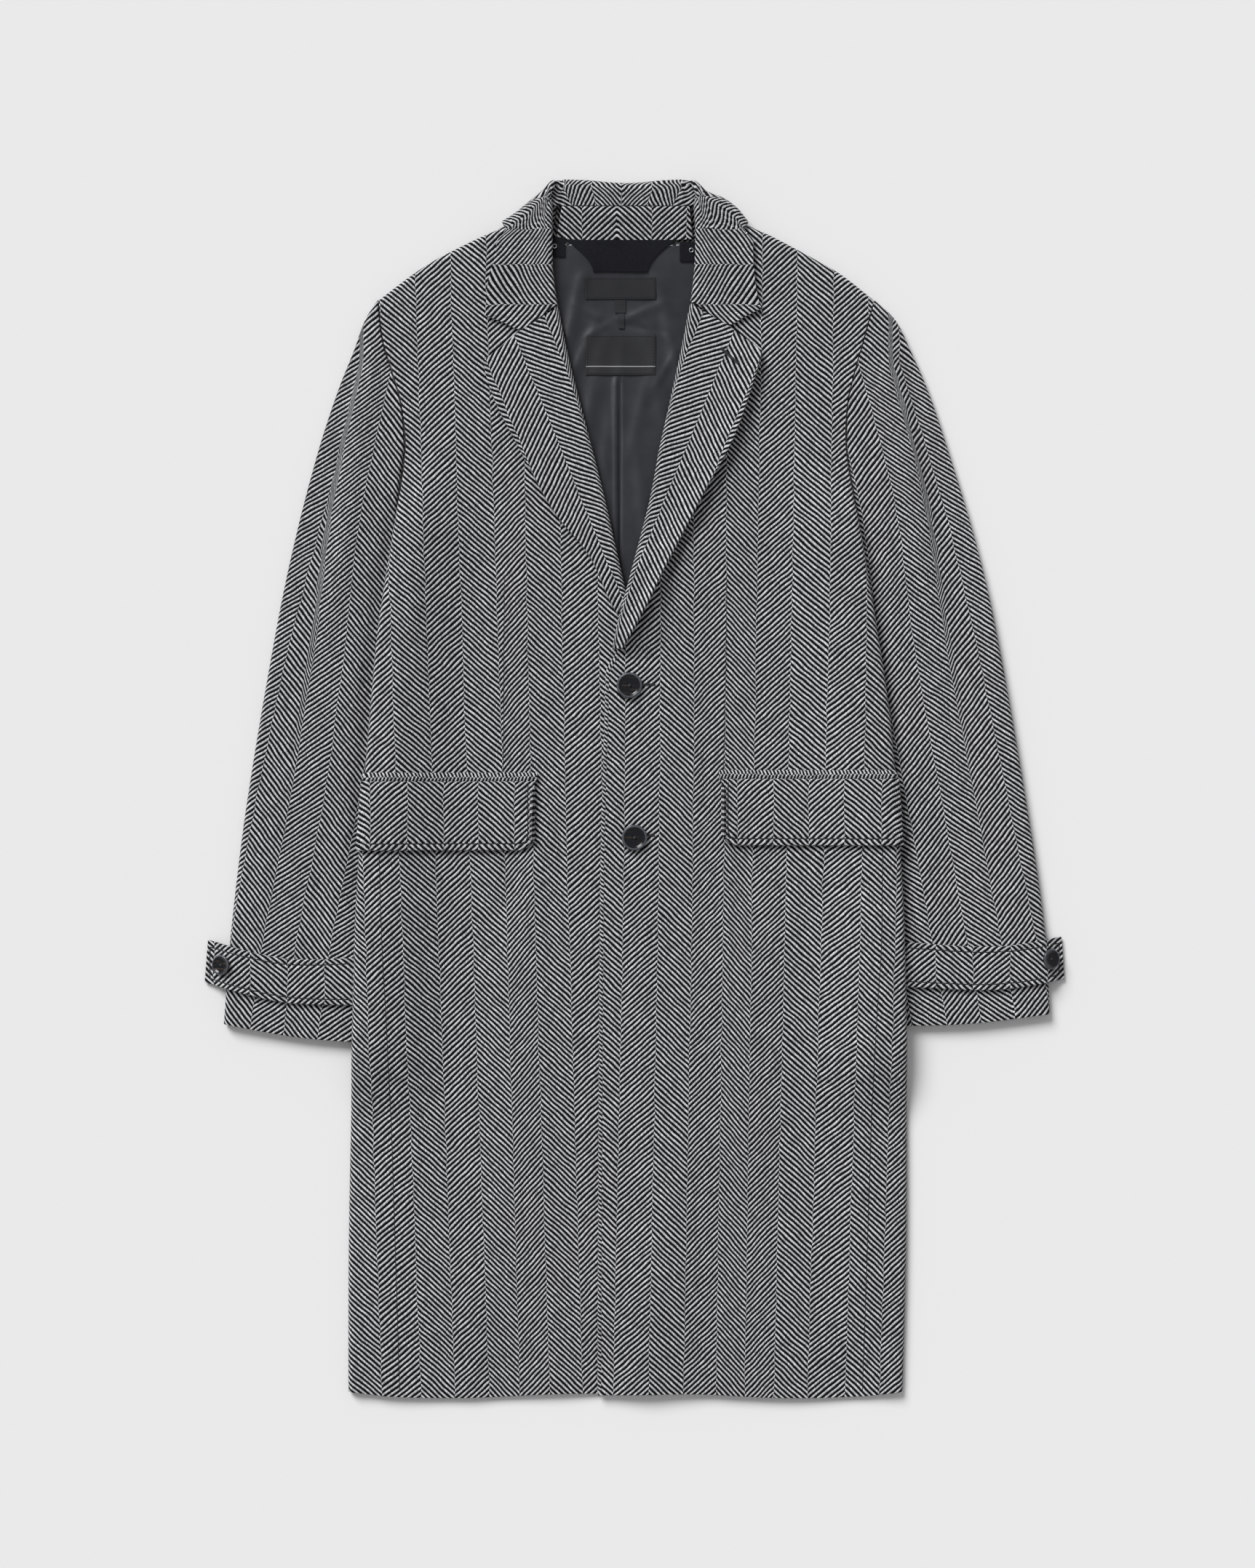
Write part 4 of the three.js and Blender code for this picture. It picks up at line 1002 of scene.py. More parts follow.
def round_edges(mesh, rims, width):
    """Bevel the sharp edges of a wall's rim, but for those in close rows, which are hidden in a fold."""
    sharp = []
    for edge in mesh.edges:
        if not any(face in rims for face in edge.link_faces) or edge.calc_face_angle(0) < math.radians(50):
            continue
        beside = [
            other.calc_length()
            for vert in edge.verts
            for other in vert.link_edges
            if other is not edge and abs(way_from(vert, other).dot(way_from(vert, edge))) < 0.7
        ]
        if beside and min(beside) > 1.15 * width * MM:
            sharp.append(edge)
    bmesh.ops.bevel(
        mesh,
        geom=sharp,
        offset=width * MM,
        affect="EDGES",
        segments=3,
        profile=0.5,
        material=-1,
        clamp_overlap=False,
    )


def coated(name, mesh, thickness, rounding, down=False):
    """Piece of the coating that takes the place of the solid of its name."""
    return finished(name, mesh, COATING, [name], thickness, rounding, down)


def crowd(t, power):
    """Steps that grow closer towards 1."""
    return 1 - (1 - t) ** power


# Front panels
def front_patch(side):
    behind_roll = [
        (SIGN[side] * (row[side] + roll_radius(side, row["y"]) + ROLL_SET), row["y"])
        for row in ROLL_LINE
        if row["y"] < 510
    ]
    neck_point = edge_points(SHOULDER[:1], side)
    inner = curve(edge_points(FRONT_EDGE, side) + behind_roll + neck_point)
    outer = curve(edge_points(BODY_EDGE, side))
    start, end = inner(0.0)[0], outer(0.0)[0]
    hem = curve([(start + (end - start) * row["along"], row["y"]) for row in HEM])
    return coons(inner, outer, hem, curve(edge_points(SHOULDER, side)))


def at_folds(patch, u, v, x, y, taken):
    """What a panel's side fold and shoulder fold take at a place, by its distance in from each edge."""
    side_part = taken(math.dist(patch(1.0, v), (x, y))) * side_fold(y)
    return side_part, taken(math.dist(patch(u, 1.0), (x, y)))


def front(side):
    patch = front_patch(side)

    def shape(u, v):
        u, v = crowd(u, CROWDED["side"]), crowd(v, CROWDED["top"])
        x, y = patch(u, v)
        drop = min(FOLD - FOLD_GAP, sum(at_folds(patch, u, v, x, y, fold_drop)))
        calm = ease((body_edge[side](y) - abs(x)) / FRONT_CALM)
        return x, y, front_top(side, x, y) - drop - side_sink(side, x, y) + front_drape(x, y) * calm

    plain_weave = front_weave(side)

    def weave(u, v, point):
        across, along = plain_weave(u, v, point)
        x, y = point[:2]
        u, v = crowd(u, CROWDED["side"]), crowd(v, CROWDED["top"])
        side_cloth, top_cloth = at_folds(patch, u, v, x, y, fold_cloth)
        return across + SIGN[side] * side_cloth, along + top_cloth

    mesh = grid(96, 260, shape, weave)
    piece = coated(f"front_{side}", mesh, CLOTH, rounding=0.7, down=side == "right")
    return piece


# Back panel, whose face points down
def back():
    middle = curve([(0, HEM[0]["y"]), (0, NECK_SEAM)])
    patches = {}
    for side in SIDES:
        outer = curve(edge_points(BODY_EDGE, side))
        neck = [(0, NECK_SEAM), (SIGN[side] * 60, NECK_SEAM + 0.5)]
        top = curve(neck + edge_points(SHOULDER[1:], side))
        hem = curve([(outer(0.0)[0] * row["along"], row["y"]) for row in HEM])
        patches[side] = coons(middle, outer, hem, top)

    def shape(u, v):
        patch = patches["left" if u < 0.5 else "right"]
        w, v = crowd(abs(2 * u - 1), CROWDED["side"]), crowd(v, CROWDED["top"])
        x, y = patch(w, v)
        return x, y, bed(x, y) + min(FOLD - FOLD_GAP, sum(at_folds(patch, w, v, x, y, fold_drop)))

    def weave(u, v, point):
        side = "left" if u < 0.5 else "right"
        x, y = point[:2]
        w, v = crowd(abs(2 * u - 1), CROWDED["side"]), crowd(v, CROWDED["top"])
        side_cloth, top_cloth = at_folds(patches[side], w, v, x, y, fold_cloth)
        return x + SIGN[side] * side_cloth, y + top_cloth

    mesh = grid(150, 250, shape, weave)
    piece = coated("back", mesh, CLOTH, rounding=0.7)


# Sleeves, as flattened tubes
def sleeve_patch(side):
    s = SIGN[side]
    armhole = [
        (s * (row[side] + ARMHOLE_GAP), row["y"]) for row in BODY_EDGE if row["y"] >= UNDERARM
    ]
    cuff = CUFF[side]
    heights = [cuff["inner"], -100, 30] + [
        row["y"] for row in SLEEVE_TUCK if cuff["inner"] < row["y"] < UNDERARM
    ]
    inner = [(s * (body_edge[side](y) - sleeve_tuck(y)), y) for y in heights]
    cuff_end = (s * cuff["outer"][0], cuff["outer"][1])
    outer = edge_points(SLEEVE_EDGE[::-1], side)
    middle = ((inner[0][0] + cuff_end[0]) / 2, (cuff["inner"] + cuff_end[1]) / 2 - CUFF_BULGE)
    return coons(
        curve(inner + [armhole[0]]),
        curve([cuff_end] + outer + [armhole[-1]]),
        curve([inner[0], middle, cuff_end]),
        curve(armhole),
    )


def meeting(patch, end, v):
    """Sine of the angle at which a row of a patch meets its inner or outer edge."""
    row = (Vector(patch(1.0, v)) - Vector(patch(0.0, v))).normalized()
    ahead, behind = patch(end, min(1.0, v + 0.01)), patch(end, max(0.0, v - 0.01))
    edge = (Vector(ahead) - Vector(behind)).normalized()
    return abs(row.x * edge.y - row.y * edge.x)


def sleeve_step(y, outer_inset):
    """Depth of the long fold, outside which the sleeve lies lower."""
    ends = SLEEVE_FOLD_ENDS
    along = ease((y - ends["foot"]) / ends["foot_run"]) * ease((ends["top"] - y) / ends["top_run"])
    return fold_depth(y) * ease((fold_inset(y) - outer_inset) / ends["fall"]) * along


def sleeve(side):
    patch = sleeve_patch(side)

    @lru_cache(maxsize=None)
    def row_facts(v):
        width = math.dist(patch(1.0, v), patch(0.0, v))
        return width, meeting(patch, 0.0, v), meeting(patch, 1.0, v)

    def shape(u, v):
        upper = u <= 0.5
        share = 2 * u if upper else 2 - 2 * u
        w = round((1 - math.cos(math.pi * share)) / 2, 6)
        v = crowd(v, CROWDED["sleeve"])
        x, y = patch(w, v)
        width, inner_sine, outer_sine = row_facts(v)
        inner_inset, outer_inset = w * width * inner_sine, (1 - w) * width * outer_sine
        edge = max(fold_drop(outer_inset), fold_drop(inner_inset))
        if not upper:
            return x, y, edge
        step = sleeve_step(y, outer_inset)
        calm = ease(min(inner_inset, outer_inset) / SLEEVE_CALM) * ease((436 - y) / 40)
        ridge = 2.2 * hump(outer_inset - fold_inset(y), 7, 8) * ease((y - 130) / 90)
        drape = sleeve_crease[side](x, y) + soft(x, y, 55, 0.8) + ridge * ease((430 - y) / 60)
        beside_body = abs(x) - body_edge[side](y)
        along = ease((270 - y) / 50) * ease((y + 128) / 40)
        deepest = min(SLEEVE_VALLEY, max(0.0, BODY - 5.2 - edge))
        valley = deepest * hump(beside_body, 0, 10) * along
        return x, y, BODY - max(edge, min(step, 4.4)) + drape * calm - valley

    plain_weave = sleeve_weave(side)

    def weave(u, v, point):
        across, along = plain_weave(u, v, point)
        w = round((1 - math.cos(math.pi * (1 - abs(2 * u - 1)))) / 2, 6)
        width, inner_sine, outer_sine = row_facts(crowd(v, CROWDED["sleeve"]))
        turned = fold_cloth((1 - w) * width * outer_sine) - fold_cloth(w * width * inner_sine)
        return across - SIGN[side] * turned, along

    mesh = grid(104, 210, shape, weave, closed=True)
    piece = coated(f"sleeve_{side}", mesh, SLEEVE_CLOTH, rounding=0.6, down=side == "right")


# Lapels, turned back along their roll lines
def turned_place(x, y, out, radius, floor, angle):
    reach = radius * (1 - math.cos(angle))
    return x + out.x * reach, y + out.y * reach, floor + radius * (1 + math.sin(angle))


def lapel(side):
    s, foot = SIGN[side], LAPEL_FOOT[side]
    heights = [foot] + [row["y"] for row in ROLL_LINE if foot + 5 < row["y"] < 425] + [GORGE[side]]
    roll = curve([(s * roll_line[side](y), y) for y in heights])
    edge = curve(outline(LAPEL_EDGE[side], side))
    notch = (s * NOTCH[side][0], NOTCH[side][1])
    top = polyline([roll(1.0), notch, edge(1.0)], [0, 0.5, 1])
    patch = coons(roll, edge, polyline([roll(0.0), edge(0.0)], [0, 1]), top)
    resting = TURNED + REST
    bend_share = 0.2

    @lru_cache(maxsize=None)
    def row_facts(v):
        x, y = patch(0.0, v)
        ahead, behind = patch(0.0, min(1.0, v + 0.02)), patch(0.0, max(0.0, v - 0.02))
        along = (Vector(ahead) - Vector(behind)).normalized()
        out = Vector((along.y * s, -along.x * s))
        radius = roll_radius(side, y)
        floor = front_top(side, x + out.x * radius, y + out.y * radius) - WOOL
        return x, y, out, radius, floor, math.dist(patch(1.0, v), (x, y))

    def shape(u, v):
        x, y, out, radius, floor, width = row_facts(v)
        if u < bend_share:
            return turned_place(x, y, out, radius, floor, math.radians(180 * u / bend_share - 90))
        w = (u - bend_share) / (1 - bend_share)
        first = min(0.6, radius / width)
        px, py = patch(round(first + (1 - first) * w, 6), v)
        rolled = 2 * radius - WOOL
        lifted = LAPEL_LIFT[side] * w**3 * ease((1.04 - v) / 0.1) * ease((v + 0.04) / 0.16)
        wave = 0.5 * w * math.sin(9 * v + 2 * w) + soft(px, py, 38, 0.5) * w
        height = front_top(side, px, py) + resting + (rolled - resting) * ease(1.1 - 2 * w)
        return px, py, height + lifted + wave

    tilt = math.radians(LAPEL_LEAN)
    first_break = {"right": 61.2, "left": -65.5}[side]

    def weave(u, v, point):
        x, y = point[:2]
        if u < bend_share:
            turned = (1 - u / bend_share) * math.pi * row_facts(v)[3]
            x -= row_facts(v)[2].x * turned
            y -= row_facts(v)[2].y * turned
        across = x * math.cos(tilt) - s * y * math.sin(tilt)
        along = y * math.cos(tilt) + s * x * math.sin(tilt)
        return across - first_break + COLUMN, along

    mesh = grid(64, 150, shape, weave)
    piece = coated(f"lapel_{side}", mesh, TURNED_CLOTH, rounding=0.9, down=side == "right")
    return piece


# Collar: one sheet, through the sections that the roll, the leaves and the neck give
BEND = (-90, -45, 0, 45, 90)
COLLAR_FALL = (0.25, 0.5, 0.75, 1)
LEAF_ROWS = (0, 0.12, 0.3, 0.48, 0.64, 0.78)
TURN_ANGLES = (90, 54, 18, -18, -54, -90)
BACK_STEPS = (0.34, 0.68)
LEAF_LIFT = dict(roll=1.4, edge=1.6)
BAND = 1.2
BAND_TOP = 2 * BACK_ROLL - 1.6


def collar_section(roll, facing, turn, radius, band, fall):
    """Section of the collar: under the roll, round it, and down its fall."""
    face = Vector(facing).normalized()
    over = Vector(turn)
    over = (over - face * over.dot(face)).normalized()
    centre = Vector(roll) - face * radius
    bend = [
        tuple(centre + face * radius * math.cos(math.radians(a)) + over * radius * math.sin(math.radians(a)))
        for a in BEND
    ]
    return [tuple(band), mix(band, bend[0], 0.5), *bend, *[point(bend[-1]) for point in fall]]


def back_section(x, y, edge_end):
    def fall_point(u):
        def point(start):
            px, py = mix(start[:2], edge_end, u)
            return px, py, 0.0

        return point

    return collar_section(
        (x, y, BACK_ROLL),
        (0, 1, 0),
        (0, 0, -1),
        BACK_ROLL,
        (x, COLLAR_BACK["seam"], BAND_TOP),
        [fall_point(u) for u in COLLAR_FALL],
    )


def collar_half(side):
    s = SIGN[side]

    def leaf_top(x, y, u):
        lifted = LEAF_LIFT["roll"] * ease((0.5 - u) / 0.4) + LEAF_LIFT["edge"] * u**3
        return front_top(side, x, y) + TURNED + REST + lifted

    corner = COLLAR_SHOULDER[side][0]
    heights = [GORGE[side] + SEAM, 459, 497, 519]
    roll = curve([(s * roll_line[side](y), y) for y in heights] + [(s * corner["x"], corner["y"])])
    edge = curve(outline(LEAF_EDGE[side], side))
    notch = (s * NOTCH[side][0], NOTCH[side][1] + 2 * SEAM)
    gorge = polyline([roll(0.0), notch, edge(0.0)], [0, 0.5, 1])
    shoulder = curve(outline(COLLAR_SHOULDER[side], side) + [edge(1.0)])
    patch = coons(roll, edge, gorge, shoulder)
    height = BODY + ON_COLLAR["lift"] + TURNED + 2 * REST
    radius = ROLL["full"]

    def roll_base(y):
        return front_top(side, s * roll_line[side](y), y) - WOOL + radius

    sections = []
    for v in LEAF_ROWS:
        x, y = patch(0.0, v)

        def leaf_point(u, v=v):
            px, py = patch(u, v)
            return lambda start: (px, py, leaf_top(px, py, u))

        sections.append(
            collar_section(
                (x, y, roll_base(y)),
                (-s, 0, 0),
                (0, 0, 1),
                radius,
                (x + s * (radius + BAND), y, roll_base(y) - radius),
                [leaf_point(u) for u in COLLAR_FALL],
            )
        )
    half = height / 2
    for k, degrees in enumerate(TURN_ANGLES):
        t = (k + 0.5) / len(TURN_ANGLES)
        angle = math.radians(degrees)
        inward = half * (1 - math.cos(angle))
        swing = ease(t)
        z = roll_base(530) + (BACK_ROLL - roll_base(530)) * swing

        def turn_point(u, inward=inward, angle=angle):
            px, py = shoulder(u)
            reach = inward * ease(u / 0.4)
            place = (px - s * reach * 0.5, py - reach * 0.85, half + half * math.sin(angle) + (1 - u) * 0.5)
            return lambda start: place

        sections.append(
            collar_section(
                (s * (corner["x"] - 4 - 8 * swing * t), COLLAR_BACK["roll"] - 5 * (1 - swing), z),
                (-s * (1 - swing), 0.15 + swing, 0),
                (s * math.sin(math.pi * t), 0, math.cos(math.pi * t)),
                radius + (BACK_ROLL - radius) * swing,
                mix(
                    (s * (roll_line[side](525) + radius), 522, roll_base(525) - radius),
                    (s * (roll_line[side](525) - 2), COLLAR_BACK["seam"], BAND_TOP),
                    swing,
                ),
                [turn_point(u) for u in COLLAR_FALL],
            )
        )
    for t in BACK_STEPS:
        x = s * (COLLAR_BACK["corner"] - 4) * (1 - t)
        y = COLLAR_BACK["roll"] - COLLAR_BACK["sag"] * ease(t)
        end = LEAF_EDGE[side][-1]
        edge_end = mix((s * (end["x"] - 8), end["y"] - 14), (0, COLLAR_BACK["fall"]), ease(t * 0.8 + 0.2))
        sections.append(back_section(x, y, edge_end))
    return sections


COLLAR_COLUMNS = 56
COLLAR_ROWS = 220
LEAF_ROLL = dict(u=0.1, length=72)
NECK_ROLL = dict(u=0.29, length=93)
LEAF_TOP = 497
LEAF_WEAVE = table(["y", "across"], [[LEAF_TOP, 2], [466, 3], [430.5, 4], [400, 5]])


def collar():
    centre = back_section(0, COLLAR_BACK["roll"] - COLLAR_BACK["sag"], (0, COLLAR_BACK["fall"]))
    stations = collar_half("right") + [centre] + collar_half("left")[::-1]
    columns = [curve(section) for section in stations]
    lines = []
    for i in range(COLLAR_COLUMNS + 1):
        lines.append(curve([column(i / COLLAR_COLUMNS) for column in columns]))
    leaf_across = reader(LEAF_WEAVE, "y", "across")
    half_rows = COLLAR_ROWS // 2

    @lru_cache(maxsize=None)
    def crossing(line, end):
        """Share of half the collar, from its middle, at which a line comes onto the leaf."""
        for step in range(half_rows):
            share = 1 - step / half_rows
            if lines[line](0.5 + end * share / 2)[1] > LEAF_TOP:
                return share
        return 0.5

    def shape(u, v):
        return lines[round(u * COLLAR_COLUMNS)](v)

    def weave(u, v, point):
        share = abs(2 * v - 1)
        leaf_starts = crossing(round(u * COLLAR_COLUMNS), 1 if v > 0.5 else -1)
        if share > leaf_starts:
            across = leaf_across(point[1])
        else:
            across = -2 + 4 * share / leaf_starts
        behind = ease((0.5 - share) / 0.3)
        roll_at = LEAF_ROLL["u"] + (NECK_ROLL["u"] - LEAF_ROLL["u"]) * behind
        length = LEAF_ROLL["length"] + (NECK_ROLL["length"] - LEAF_ROLL["length"]) * behind
        return across * COLUMN, (u - roll_at) * length

    mesh = grid(COLLAR_COLUMNS, COLLAR_ROWS, shape, weave)
    piece = coated("collar", mesh, TURNED_CLOTH, rounding=0.5, down=True)


def stand():
    low, high = NECK_SEAM + 1.2, COLLAR_BACK["seam"] - SEAM
    base = ON_COLLAR["lift"] + WOOL

    def shape(u, v):
        x = 122 * u - 62 + v * (5 - 8 * u)
        hollow = low + 2 * (x / 60) ** 2
        y = hollow + (high - hollow) * v
        return x, y, base + STAND_RISE * ease((y - low) / (high - low))

    def weave(u, v, point):
        return abs(point[0] + 7.8) + COLUMN, point[1]

    mesh = grid(60, 16, shape, weave)
    piece = coated("collar_stand", mesh, TURNED_CLOTH, rounding=0.7)


# Lining, facing and labels inside the neck
def lining_top(x, y):
    return bed(x, y) + WOOL + 2 * SEAM + LINING


LINING_CREASES = table(
    ["x", "y", "turn", "length", "width", "height"],
    [
        [-46, 425, 78, 80, 6, 2.0],
        [-40, 385, 66, 60, 5, 1.4],
        [-33, 330, 80, 90, 7, 1.6],
        [36, 432, 112, 60, 6, 1.8],
        [41, 395, 104, 60, 5, 1.5],
        [30, 350, 100, 80, 7, 1.3],
        [-20, 280, 82, 110, 7, 1.3],
        [14, 262, 97, 90, 6, 1.2],
        [12, 424, 24, 34, 4, 1.1],
        [-26, 421, 150, 34, 4, 1.1],
        [4, 413, 170, 46, 3.5, -0.8],
        [-22, 411, 30, 30, 3.5, 0.8],
        [20, 412, 140, 30, 3.5, 0.9],
        [-44, 396, 130, 26, 4, 1.0],
        [34, 372, 60, 30, 4, 1.0],
        [-4, 360, 90, 60, 5, 0.9],
        [14, 340, 76, 70, 6, 1.0],
        [-16, 235, 88, 70, 5, 0.9],
    ],
)
LINING_FOOT = 160
LINING_CALM = dict(y=466, run=12, side_run=14)
LINING_PLEAT = dict(y=372, run=12)
# Path of the lining's middle seam, along which a dark strip of painted shade is laid.
LINING_SEAM = [(-4.9, 371), (-4.6, 330), (-4.9, 280), (-5.4, 225), (-5.4, 170)]
lining_crease = crease(LINING_CREASES)


def lining_relief(x, y):
    """A pleat down the lining's middle, and soft drag lines from the neck."""
    below_label = ease((LINING_PLEAT["y"] - y) / LINING_PLEAT["run"])
    pleat = 1.3 * hump(x, -9.0, 2.6) - 1.1 * hump(x, -5.2, 1.5)
    return pleat * below_label + lining_crease(x, y)


def lining_ends(y):
    return -(roll_line["right"](y) + 12), roll_line["left"](y) + 12


def lining_folds(x, y):
    """The lining's relief, calm at the facing and at its sides."""
    right, left = lining_ends(y)
    at_facing = ease((LINING_CALM["y"] - y) / LINING_CALM["run"])
    return lining_relief(x, y) * at_facing * ease(min(x - right, left - x) / LINING_CALM["side_run"])


def lining_back():
    def shape(u, v):
        y = LINING_FOOT + (NECK_SEAM - LINING_FOOT) * v
        right, left = lining_ends(y)
        x = right + (left - right) * u
        return x, y, lining_top(x, y) - 0.2 + lining_folds(x, y)

    mesh = grid(110, 200, shape)
    piece = finished(
        "lining_back", mesh, SATIN_CLOTH, ["lining_back"], thickness=0.35, rounding=0
    )
    # Painted shade: a dark strip down the lining's middle seam, in place of the shade in its fold.
    line_on("lining_seam", LINING_SEAM, surface_of(piece), THREAD_AND_PAINTED_SHADE, "lining")


# Lower and upper corners of the neck facing, and how its ends curve between them
FACING_CORNERS = table(["y", "right", "left"], [[460.5, -29, 19.5], [489, -53.3, 45.5]])
FACING_CURVE = 1.7


def neck_facing():
    low, high = FACING_CORNERS

    def shape(u, v):
        y = low["y"] + (high["y"] - low["y"]) * v
        spread = v**FACING_CURVE
        right, left = (low[end] + (high[end] - low[end]) * spread for end in ("right", "left"))
        x = right + (left - right) * u
        return x, y, lining_top(x, y) + SEAM + FACING + 0.3 * math.sin(x / 9) * ease((high["y"] - y) / 8)

    mesh = grid(60, 24, shape)
    piece = finished(
        "neck_facing", mesh, FACING_CLOTH, ["neck_facing"], thickness=0.9 * FACING, rounding=0.3
    )


LABELS = table(
    ["name", "right", "left", "bottom", "top"],
    [
        ["label_upper", -36.4, 26.7, 436.6, 456.2],
        ["label_lower", -35.8, 26.6, 369, 405.3],
        ["size_tab", -9.8, 0, 424.4, 435.8],
        ["care_tab", -6.5, -1.3, 410.5, 423.8],
    ],
)


def label(row):
    name, right, left, bottom, top = row.values()

    def shape(u, v):
        x, y = right + (left - right) * u, bottom + (top - bottom) * v
        draped = 0.65 * lining_folds(x, y) + 0.25 * math.sin(x / 13 + y / 7)
        return x, y, lining_top(x, y) + SEAM + LABEL + draped

    mesh = grid(30, 16, shape)
    piece = finished(name, mesh, LABEL_CLOTH, [name], thickness=0.45, rounding=0.12)
    width, height = left - right, top - bottom
    flat = (max(width, 10.4) * MM, height * MM)
    return piece


SNAP_TABS = table(
    ["side", "inner", "outer", "bottom", "top", "eye_x", "eye_y"],
    [["left", 48.1, 61.6, 469.6, 487.4, 58.5, 479.7], ["right", 54, 66.4, 473.8, 491.4, 63.4, 483.3]],
)
EYELET = dict(outer=2.3, inner=1.2, height=0.7)


def snap_tab(row):
    s = SIGN[row["side"]]
    ends = sorted((s * row["inner"], s * row["outer"]))

    def shape(u, v):
        x, y = ends[0] + (ends[1] - ends[0]) * u, row["bottom"] + (row["top"] - row["bottom"]) * v
        return x, y, lining_top(x, y) + SEAM + TAB

    name = f"snap_tab_{row['side']}"
    mesh = grid(16, 18, shape)
    piece = finished(name, mesh, FACING_CLOTH, [name], thickness=0.8, rounding=0.3)
    eyelet(f"eyelet_{row['side']}", s * row["eye_x"], row["eye_y"])


def spun(mesh, section, steps):
    """Turn a section fully round the upright axis, closed, with its faces outwards."""
    turn = dict(cent=(0, 0, 0), axis=(0, 0, 1), angle=2 * math.pi, use_merge=True)
    bmesh.ops.spin(mesh, geom=section, steps=steps, **turn)
    bmesh.ops.remove_doubles(mesh, verts=mesh.verts, dist=0.001 * MM)
    bmesh.ops.recalc_face_normals(mesh, faces=mesh.faces)


def eyelet(name, x, y):
    """A rolled metal ring, spun from a small round section."""
    mesh = bmesh.new()
    radius = (EYELET["outer"] + EYELET["inner"]) / 2
    section = (EYELET["outer"] - EYELET["inner"]) / 2
    turn = Matrix.Translation((radius * MM, 0, 0)) @ Matrix.Rotation(math.pi / 2, 4, "X")
    ring = bmesh.ops.create_circle(mesh, segments=12, radius=section * MM, matrix=turn)
    spun(mesh, list(mesh.edges) + ring["verts"], 32)
    z = lining_top(x, y) + SEAM + TAB + 0.3 + EYELET["height"] / 2
    bmesh.ops.translate(mesh, verts=mesh.verts, vec=metres((x, y, z)))
    smooth(mesh)
    finished(name, mesh, METAL, [name])


# Pocket flaps and welts
def front_surface(side, x, y):
    inset = body_edge[side](y) - abs(x)
    calm = ease(inset / FRONT_CALM)
    face = front_top(side, x, y) - fold_drop(inset) * side_fold(y) - side_sink(side, x, y)
    return face + front_drape(x, y) * calm


def strip(side, inner, lower, upper):
    """Shape that lies on a front from an inner x out to its rounded side."""
    s = SIGN[side]

    def shape(u, v):
        along = u - 0.75 * math.sin(2 * math.pi * u) / (2 * math.pi)
        reach = body_edge[side]((lower(60.0) + upper) / 2) - FLAP["short"] - inner
        y = lower(along * reach) + (upper - lower(along * reach)) * v
        out = inner + (body_edge[side](y) - FLAP["short"] - inner) * along
        return s * out, y, front_surface(side, s * out, y)

    return shape


def laid_on_front(side, mesh, distance):
    """Turn a strip's faces upwards and raise it off the front along them."""
    if side == "right":
        bmesh.ops.reverse_faces(mesh, faces=mesh.faces)
        mesh.normal_update()
    raise_mesh(mesh, distance)
    return mesh


def flap(side):
    place = FLAP_PLACE[side]
    corner = FLAP["corner"]
    first_break = {"right": -162.5, "left": 163.2}[side]

    def lower(along):
        left = max(0.0, corner - along)
        return place["bottom"] + corner - math.sqrt(corner**2 - left**2)

    base = strip(side, place["inner"], lower, place["top"])

    def shape(u, v):
        x, y, z = base(u, v)
        edge_in = min(y - place["bottom"], (abs(x) - place["inner"]) + 4)
        groove = -0.45 * hump(edge_in, 6, 1.3) * ease((place["top"] - y) / 8)
        puff = 0.5 * ease((place["top"] - y) / 20)
        return x, y, z + groove + puff

    def weave(u, v, point):
        return (point[0] - first_break) * 0.98, point[1] + 2

    mesh = laid_on_front(side, grid(110, 44, shape, weave), FLAP["lift"] + FLAP["wall"])
    piece = coated(f"flap_{side}", mesh, FLAP["cloth"], rounding=1.0)
    return piece


def welt(side):
    place = FLAP_PLACE[side]
    low = place["top"] + WELT["gap"]
    base = strip(side, place["inner"] - WELT["past"], lambda along: low, low + WELT["height"])

    def shape(u, v):
        x, y, z = base(u, v)
        return x, y, z + 1.2 * math.sin(math.pi * v) - 0.6

    def weave(u, v, point):
        return COLUMN + (v - 0.5) * 7, point[0] * 1.55

    mesh = laid_on_front(side, grid(120, 8, shape, weave), WELT["lift"] + WELT["wall"])
    piece = coated(f"welt_{side}", mesh, WELT["cloth"], rounding=0.5)


# Cuff straps
strap_edges = {
    side: [reader(STRAP_EDGE[side], "along", edge) for edge in ("top", "bottom")] for side in SIDES
}


def sleeve_outer(side):
    patch = sleeve_patch(side)
    points = [patch(1.0, 0.3 * i / 60) for i in range(61)]
    return lambda y: abs(min(points, key=lambda point: abs(point[1] - y))[0])


def strap_top(side, past):
    start = STRAP["start"]
    drop = STRAP["droop"] * ease((start + past) / (start + STRAP["past"][side]))
    return BODY + STRAP["lift"] + STRAP["wall"] - drop


def cuff_strap(side):
    outer_at = sleeve_outer(side)
    top, bottom = strap_edges[side]
    s = SIGN[side]
    break_at = {"right": -301, "left": 308.8}[side]

    def shape(u, v):
        low, high = bottom(u), top(u)
        y = low + (high - low) * v
        outer = outer_at(round(y))
        inner = body_edge[side](y) - STRAP["tuck"]
        x = inner + (outer + STRAP["past"][side] - inner) * u
        edge_in = min(y - low, high - y, (1 - u) * (outer + STRAP["past"][side] - inner))
        groove = -0.4 * hump(edge_in, 5.2, 1.1)
        return s * x, y, strap_top(side, x - outer) + groove + soft(x, y, 30, 0.4)

    def weave(u, v, point):
        return (point[0] - break_at) * 0.94, point[1]

    mesh = grid(110, 34, shape, weave)
    piece = coated(f"cuff_strap_{side}", mesh, STRAP["cloth"], rounding=0.9, down=side == "right")
    return piece


